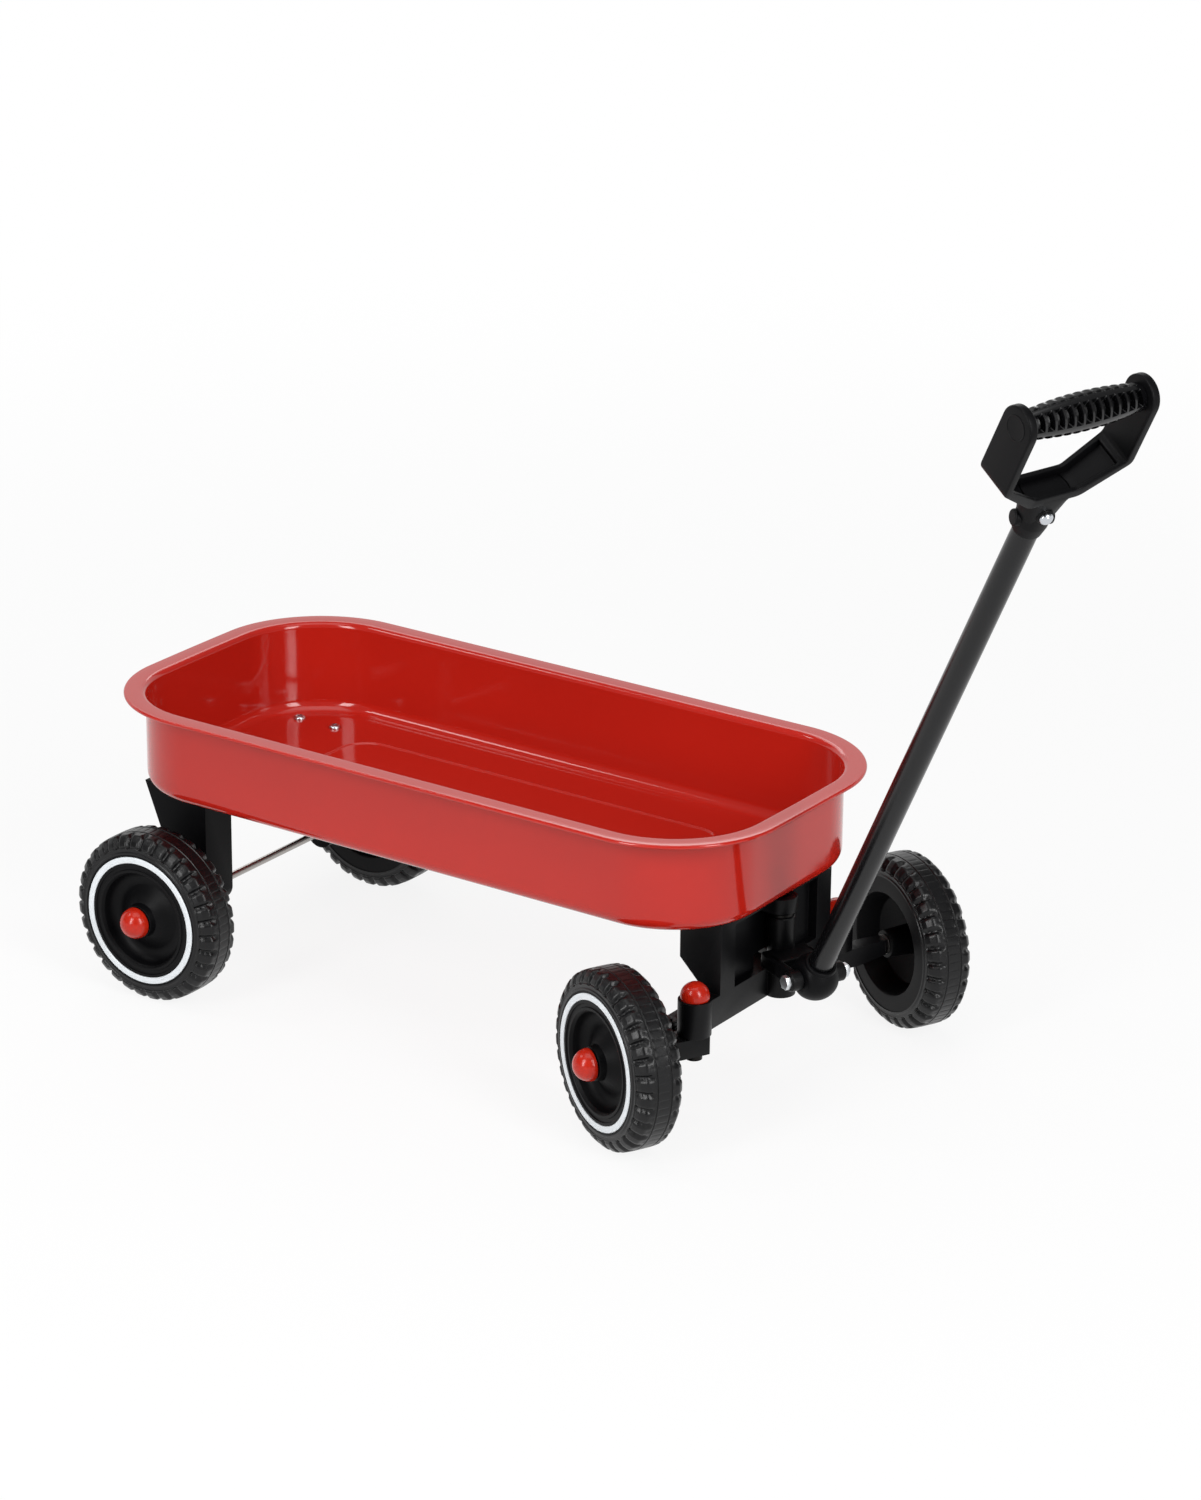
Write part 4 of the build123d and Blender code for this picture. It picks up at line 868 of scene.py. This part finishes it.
CHANNEL_WALL = 3.2
CHANNEL_DEPTH = 6.2
CHANNEL_END = (42.0, 45.0)
BAND_STEP = 1.5
SLEEVE_START = 499.0
SLEEVE_HALF_DEPTH = LOWER_BAR_HALF_DEPTH + 0.1
SLEEVE_FLATNESS = 12
SLEEVE_SECTION = [
    (TUBE_R + 0.05, SLEEVE_START + 3, 0), (TUBE_R + 0.05, SLEEVE_START, 0.2),
    (10.7, SLEEVE_START, 0.5), (12.4, 508.0, 4.0), (12.6, 525.0, 6.0), (18.5, 537.5, 3.0),
    (18.5, 539.5, 0),
]
# Plug over the hand bar's pin: (radius, distance out from the grip's middle, corner radius).
PLUG_SECTION = [
    (0.0, 54.5, 0), (9.5, 54.5, 0), (9.5, 55.9, 0.35), (8.6, 55.9, 0.3), (8.3, 55.6, 0.3),
    (0.0, 55.6, 0),
]
BAR_MIDDLE_R = 13.5
BAR_END_R = 9.8
BAR_END_GAP = 0.25
BAR_POCKETS = 11
BAR_POCKET_DEPTH = 4.4
BAR_END_RIB = 3.0
# A pocket's side runs down between these distances from a rib's middle, and between these
# angles from a spine.
POCKET_SIDE = (0.9, 1.9)
POCKET_SIDE_ANGLE = (10, 14)
RIB_STEPS = [0.0, 0.9, 1.2, 1.5, 1.9, 2.6]
SPINE_STEPS = [0, 5, 10, 11.2, 12.6, 14, 16, 20, 28, 36, 45]
GRIP_BOLT_W = 523.5
GRIP_BOLT_TURN = -10.0
# Bosses through the sleeve: radius, half length, height, and turn from the grip's width.
SIDE_BOSS = (6.2, 15.2, 511.0, -12.0)
BOLT_BOSS = (6.6, 13.5, GRIP_BOLT_W, GRIP_BOLT_TURN - 90.0)
# Head of the cross bolt, and its nut: (radius, distance from the tube's middle).
BOLT_HEAD_SECTION = [
    (0.0, 11.0, 0), (2.5, 11.0, 0), (2.5, 13.4, 0), (5.0, 13.4, 0.4), (4.9, 15.2, 1.6),
    (3.0, 17.0, 2.0), (0.0, 17.2, 0),
]
NUT_SECTION = [
    (2.4, 13.2), (4.0, 13.2), (4.6, 13.6), (4.6, 16.0), (4.0, 16.4), (2.4, 16.4), (2.3, 17.4),
    (0.0, 17.5),
]
NUT_STEPS = 48
NUT_FLAT_SHARE = 0.87
BOLT_END_R = 3.0


def eased(corners, reach, count=6):
    """Path through the corners, each turned by a short curve."""
    corners = [Vector(corner) for corner in corners]
    path = [corners[0]]
    for before, corner, after in zip(corners, corners[1:], corners[2:]):
        start = corner + (before - corner).normalized() * reach
        end = corner + (after - corner).normalized() * reach
        for k in range(count + 1):
            t = k / count
            path.append(start * (1 - t) ** 2 + corner * 2 * t * (1 - t) + end * t ** 2)
    return path + [corners[-1]]


def grip_section(thickness, channel):
    """Half of the band's section as (inset from its side, height above its outer face)."""
    turns = [pi / 2 * k / 4 for k in range(5)]
    outer = [(OUTER_EDGE_R * (1 - sin(t)), OUTER_EDGE_R * (1 - cos(t))) for t in turns]
    inner = [(INNER_EDGE_R * (1 - cos(t)), thickness - INNER_EDGE_R * (1 - sin(t)))
             for t in turns]
    bottom = thickness - channel
    return outer + inner + [
        (CHANNEL_WALL, thickness), (CHANNEL_WALL + 0.5, thickness - channel * 0.12),
        (CHANNEL_WALL + 0.9, bottom), (None, bottom)]


def grip_band():
    """Straps and lower bar as one band, its section carried round the D."""
    outer = eased([(0.0, LOWER_BAR_W), (LOWER_BAR_BEND, LOWER_BAR_W),
                   (STRAP_OUTSIDE, STRAP_FOOT_W), (STRAP_OUTSIDE, GRIP_AXIS_W)], 4.0)
    inner = eased([(0.0, LOWER_BAR_INNER_W), (LOWER_BAR_INNER_BEND, LOWER_BAR_INNER_W),
                   (STRAP_INSIDE, STRAP_FOOT_INNER_W), (STRAP_INSIDE, GRIP_AXIS_W)], 3.0)
    stations = []
    for low, high, low_after, high_after in zip(outer, inner, outer[1:], inner[1:]):
        pieces = max(1, ceil((low_after - low).length / BAND_STEP))
        for j in range(pieces):
            share = j / pieces
            stations.append((low.lerp(low_after, share), high.lerp(high_after, share), 0.0))
    stations += [(outer[-1], inner[-1], pi / 2 * k / STRAP_TOP_STEPS)
                 for k in range(STRAP_TOP_STEPS + 1)]
    half = []
    for low, high, turn in stations:
        side = (high.x - LOWER_BAR_INNER_BEND) / (STRAP_INSIDE - LOWER_BAR_INNER_BEND)
        widening = (STRAP_HALF_DEPTH - LOWER_BAR_HALF_DEPTH) * min(1, max(0, side))
        half_depth = LOWER_BAR_HALF_DEPTH + widening
        thickness = (high - low).length
        channel = CHANNEL_DEPTH * (1 - smooth_step(*CHANNEL_END, high.x))
        ring = [(0.0, low.x, low.y if turn == 0 else GRIP_AXIS_W)]
        for inset, rise in grip_section(thickness, channel):
            reach = 0.0 if inset is None else half_depth - inset
            across = low.lerp(high, rise / thickness)
            ring.append((reach * cos(turn), across.x, across.y + reach * sin(turn)))
        half.append(ring + [(-x, y, z) for x, y, z in reversed(ring[1:-1])])
    other = [[(x, -y, z) for x, y, z in ring] for ring in reversed(half[1:])]
    points, faces = skin(other + half)
    return points, faces[:-2]


def sleeve():
    """Socket round the tube, narrower at its mouth and flared into the lower bar."""
    points, faces = turned(rounded(SLEEVE_SECTION), segments=96)
    points = [(flattened(x, SLEEVE_HALF_DEPTH, SLEEVE_FLATNESS), y, z) for x, y, z in points]
    return points, faces


def round_boss(radius, reach, w, turn):
    """Boss across the sleeve with rounded ends, turned about the tube from the grip's width."""
    section = rounded([(0.0, -reach, 0), (radius, -reach, 1.6), (radius, reach, 1.6),
                       (0.0, reach, 0)])
    across = Matrix.Rotation(radians(turn), 4, "Z") @ Matrix.Rotation(pi / 2, 4, "X")
    return turned(section, Matrix.Translation((0, 0, w)) @ across, 48)


def pin_plug(side):
    """Shallow round plug over the hand bar's pin, on the outside of a strap."""
    out = Matrix.Translation((0, 0, GRIP_AXIS_W)) @ Matrix.Rotation(-side * pi / 2, 4, "X")
    return turned(rounded(PLUG_SECTION), out)


def hand_bar():
    """Barrel-shaped bar with four lengthwise spines and rows of pockets between them."""
    half = STRAP_INSIDE - BAR_END_GAP
    first = -(half - BAR_END_RIB)
    pitch = -2 * first / (BAR_POCKETS + 1)
    from_ribs = RIB_STEPS + [pitch / 2] + [pitch - d for d in reversed(RIB_STEPS[1:])]
    stations = [first + pitch * k + d for k in range(BAR_POCKETS + 1) for d in from_ribs]
    from_spines = SPINE_STEPS + [90 - d for d in reversed(SPINE_STEPS[1:-1])]
    turns = [90 * quarter + d for quarter in range(4) for d in from_spines]
    rings = []
    for along in [-half] + stations + [-first, half]:
        full = BAR_MIDDLE_R - (BAR_MIDDLE_R - BAR_END_R) * (along / half) ** 2
        ribs = (along - first) / pitch
        from_rib = abs(ribs - round(ribs)) * pitch
        pocket = smooth_step(*POCKET_SIDE, from_rib) if abs(along) < -first - 0.1 else 0.0
        ring = []
        for turn in turns:
            from_spine = min(turn % 90, 90 - turn % 90)
            depth = BAR_POCKET_DEPTH * pocket * smooth_step(*POCKET_SIDE_ANGLE, from_spine)
            radius = full - depth
            ring.append((radius * cos(radians(turn)), along,
                         GRIP_AXIS_W + radius * sin(radians(turn))))
        rings.append(ring)
    return skin(rings)


def cross_nut():
    """Hexagon nut and the bolt's end, the hexagon's corners chamfered."""
    rings = []
    for radius, out in NUT_SECTION:
        ring = []
        for k in range(NUT_STEPS):
            angle = 2 * pi * k / NUT_STEPS
            from_flat = (angle + pi / 6) % (pi / 3) - pi / 6
            reach = radius
            if radius > BOLT_END_R:
                reach = min(radius, radius * NUT_FLAT_SHARE / cos(from_flat))
            ring.append((-out, reach * sin(angle), GRIP_BOLT_W + reach * cos(angle)))
        rings.append(ring)
    return skin(rings)


grip_shells = [
    grip_band(), sleeve(), round_boss(*SIDE_BOSS), round_boss(*BOLT_BOSS), pin_plug(1),
    pin_plug(-1),
]
dress(united("grip_moulding", grip_shells, GRIP_PLACE), HANDLE_BLACK, "handle",
      "grip_plastic", "grip_frame")
BAR_BLACK = moulded_black("polished_bar_moulding", 0.22, 2.0, shine=0.5, texture=0.03)
dress(build("hand_bar", *hand_bar(), GRIP_PLACE, sharp=50), BAR_BLACK, "handle",
      "grip_plastic", "grip_barrel")
nut_place = GRIP_PLACE @ Matrix.Rotation(radians(GRIP_BOLT_TURN), 4, "Z")
head_place = (nut_place @ Matrix.Translation((0, 0, GRIP_BOLT_W * MM))
              @ Matrix.Rotation(pi / 2, 4, "Y"))
dress(lathe("grip_bolt_head", rounded(BOLT_HEAD_SECTION, step=10), head_place, segments=64),
      ZINC, "handle", "zinc_fasteners", "grip_bolt")
dress(build("grip_bolt_nut", *cross_nut(), nut_place), ZINC, "handle", "zinc_fasteners",
      "grip_nut")


# ---- studio -------------------------------------------------------------------------------
# A white bowl of a floor whose far edge curves up, two tall soft boxes beside the camera, a
# wide dim one overhead, a fill and a small kicker behind.  Camera and lamps are in metres.
CAMERA_AZIMUTH = 34.571
CAMERA_ELEVATION = 20.949
CAMERA_ROLL = 0.489
CAMERA_DISTANCE = 3.7665
CAMERA_AIM = Vector((0.0510, 0.0816, 0.1999))
CAMERA_LENS = 113.585
CAMERA_SENSOR = 36.0
FLOOR_FLAT_R = 9000.0
FLOOR_EDGE_R = 14000.0
FLOOR_BACK_Z = 8500.0
FLOOR_FRONT_Z = 1500.0
FLOOR_RISE = (0.1, 0.8)
FLOOR_SIDES = 96
FLOOR_FLAT_STEPS = 6
FLOOR_CURVE_STEPS = 16
SHADOW_NEAR = 0.8
SHADOW_FAR = 2.4
GLOW_NEAR = 0.88
LAMP_AIM = Vector((0, 0, 0.2))
AMBIENT = 0.22
# Azimuth, elevation, distance, width, height and watts of each soft box.
SOFT_BOXES = {
    "tall_right": (72, 27, 3.0, 0.74, 2.0, 52),
    "tall_left": (-4, 27, 3.0, 0.74, 2.0, 52),
    "overhead": (34, 80, 2.8, 2.4, 1.8, 22),
    "back_fill": (222, 38, 3.0, 1.8, 1.2, 16),
    "rear_kicker": (-61, 46.5, 3.0, 0.42, 0.6, 7),
}


def towards(azimuth, elevation):
    """Unit vector from the wagon to a place round it; azimuth 0 is its right side."""
    a, e = radians(azimuth), radians(elevation)
    return Vector((sin(a) * cos(e), -cos(a) * cos(e), sin(e)))


def camera():
    """Camera in front of the wagon and to its right, a little above it."""
    back = towards(CAMERA_AZIMUTH, CAMERA_ELEVATION)
    data = bpy.data.cameras.new("camera")
    data.lens = CAMERA_LENS
    data.sensor_width = CAMERA_SENSOR
    data.clip_end = 50.0
    made = bpy.data.objects.new("camera", data)
    bpy.context.scene.collection.objects.link(made)
    place = Matrix.Translation(TRAY_MIDDLE + CAMERA_AIM + back * CAMERA_DISTANCE)
    turn = (-back).to_track_quat("-Z", "Y").to_matrix().to_4x4()
    made.matrix_world = place @ turn @ Matrix.Rotation(radians(CAMERA_ROLL), 4, "Z")
    bpy.context.scene.camera = made


def white_sweep():
    """Matt white: near the wagon it keeps some of the shadow, and further off it is white."""
    material = bpy.data.materials.new("matt_white_sweep")
    material.use_nodes = True
    tree = material.node_tree
    tree.nodes.remove(tree.nodes["Principled BSDF"])
    matt = add(material, "ShaderNodeBsdfDiffuse", {"Color": linear("#E6E6E6")})
    glow = add(material, "ShaderNodeEmission", {"Color": linear("#FFFFFF"), "Strength": 1.0})
    where = add(material, "ShaderNodeTexCoord").outputs["Object"]
    distance = add(material, "ShaderNodeVectorMath", {0: where}, operation="LENGTH")
    share = add(material, "ShaderNodeMapRange", {
        "Value": distance.outputs["Value"], "From Min": SHADOW_NEAR, "From Max": SHADOW_FAR,
        "To Min": GLOW_NEAR, "To Max": 1.0,
    }, interpolation_type="SMOOTHSTEP")
    ray = add(material, "ShaderNodeLightPath").outputs
    seen = add(material, "ShaderNodeMath", {
        0: ray["Is Camera Ray"], 1: ray["Is Glossy Ray"]}, operation="ADD")
    seen = add(material, "ShaderNodeMath", {
        0: seen.outputs[0], 1: ray["Is Transmission Ray"]}, operation="ADD", use_clamp=True)
    factor = add(material, "ShaderNodeMath", {
        0: seen.outputs[0], 1: share.outputs["Result"]}, operation="MULTIPLY")
    mixed = add(material, "ShaderNodeMixShader", {
        0: factor.outputs[0], 1: matt.outputs[0], 2: glow.outputs[0]})
    tree.links.new(mixed.outputs[0], tree.nodes["Material Output"].inputs["Surface"])
    return material


def floor():
    """Flat floor that curves up all round, and highest behind the wagon."""
    back = -towards(CAMERA_AZIMUTH, 0)
    rings = []
    for k in range(FLOOR_SIDES):
        angle = 2 * pi * k / FLOOR_SIDES
        out = Vector((cos(angle), sin(angle), 0))
        height = FLOOR_BACK_Z - FLOOR_FRONT_Z
        edge_z = FLOOR_FRONT_Z + height * smooth_step(*FLOOR_RISE, out.dot(back))
        ring = [(FLOOR_FLAT_R * j / FLOOR_FLAT_STEPS, 0.0) for j in range(FLOOR_FLAT_STEPS + 1)]
        for j in range(1, FLOOR_CURVE_STEPS + 1):
            rise = pi / 2 * j / FLOOR_CURVE_STEPS
            reach = FLOOR_FLAT_R + (FLOOR_EDGE_R - FLOOR_FLAT_R) * sin(rise)
            ring.append((reach, edge_z * (1 - cos(rise))))
        rings.append([tuple(out * max(r, 0.1) + Vector((0, 0, z))) for r, z in ring])
    points, faces = skin(rings, closed=True)
    count = len(rings[0])
    made = build("floor", points, [face for face in faces if face[0] % count != count - 1])
    made.data.materials.append(white_sweep())


def soft_box(name, azimuth, elevation, distance, width, height, watts):
    """Rectangular lamp that faces the wagon."""
    light = bpy.data.lights.new(name, "AREA")
    light.shape = "RECTANGLE"
    light.size = width
    light.size_y = height
    light.energy = watts
    made = bpy.data.objects.new(name, light)
    bpy.context.scene.collection.objects.link(made)
    out = towards(azimuth, elevation)
    made.location = TRAY_MIDDLE + LAMP_AIM + out * distance
    made.rotation_euler = (-out).to_track_quat("-Z", "Y").to_euler()


def dim_world():
    """Even, dim white light from all round."""
    world = bpy.data.worlds.new("studio")
    bpy.context.scene.world = world
    world.use_nodes = True
    ambient = world.node_tree.nodes["Background"]
    ambient.inputs["Color"].default_value = linear("#FFFFFF")
    ambient.inputs["Strength"].default_value = AMBIENT


camera()
floor()
for name, values in SOFT_BOXES.items():
    soft_box(name, *values)
dim_world()
bpy.context.scene.view_settings.view_transform = "Standard"
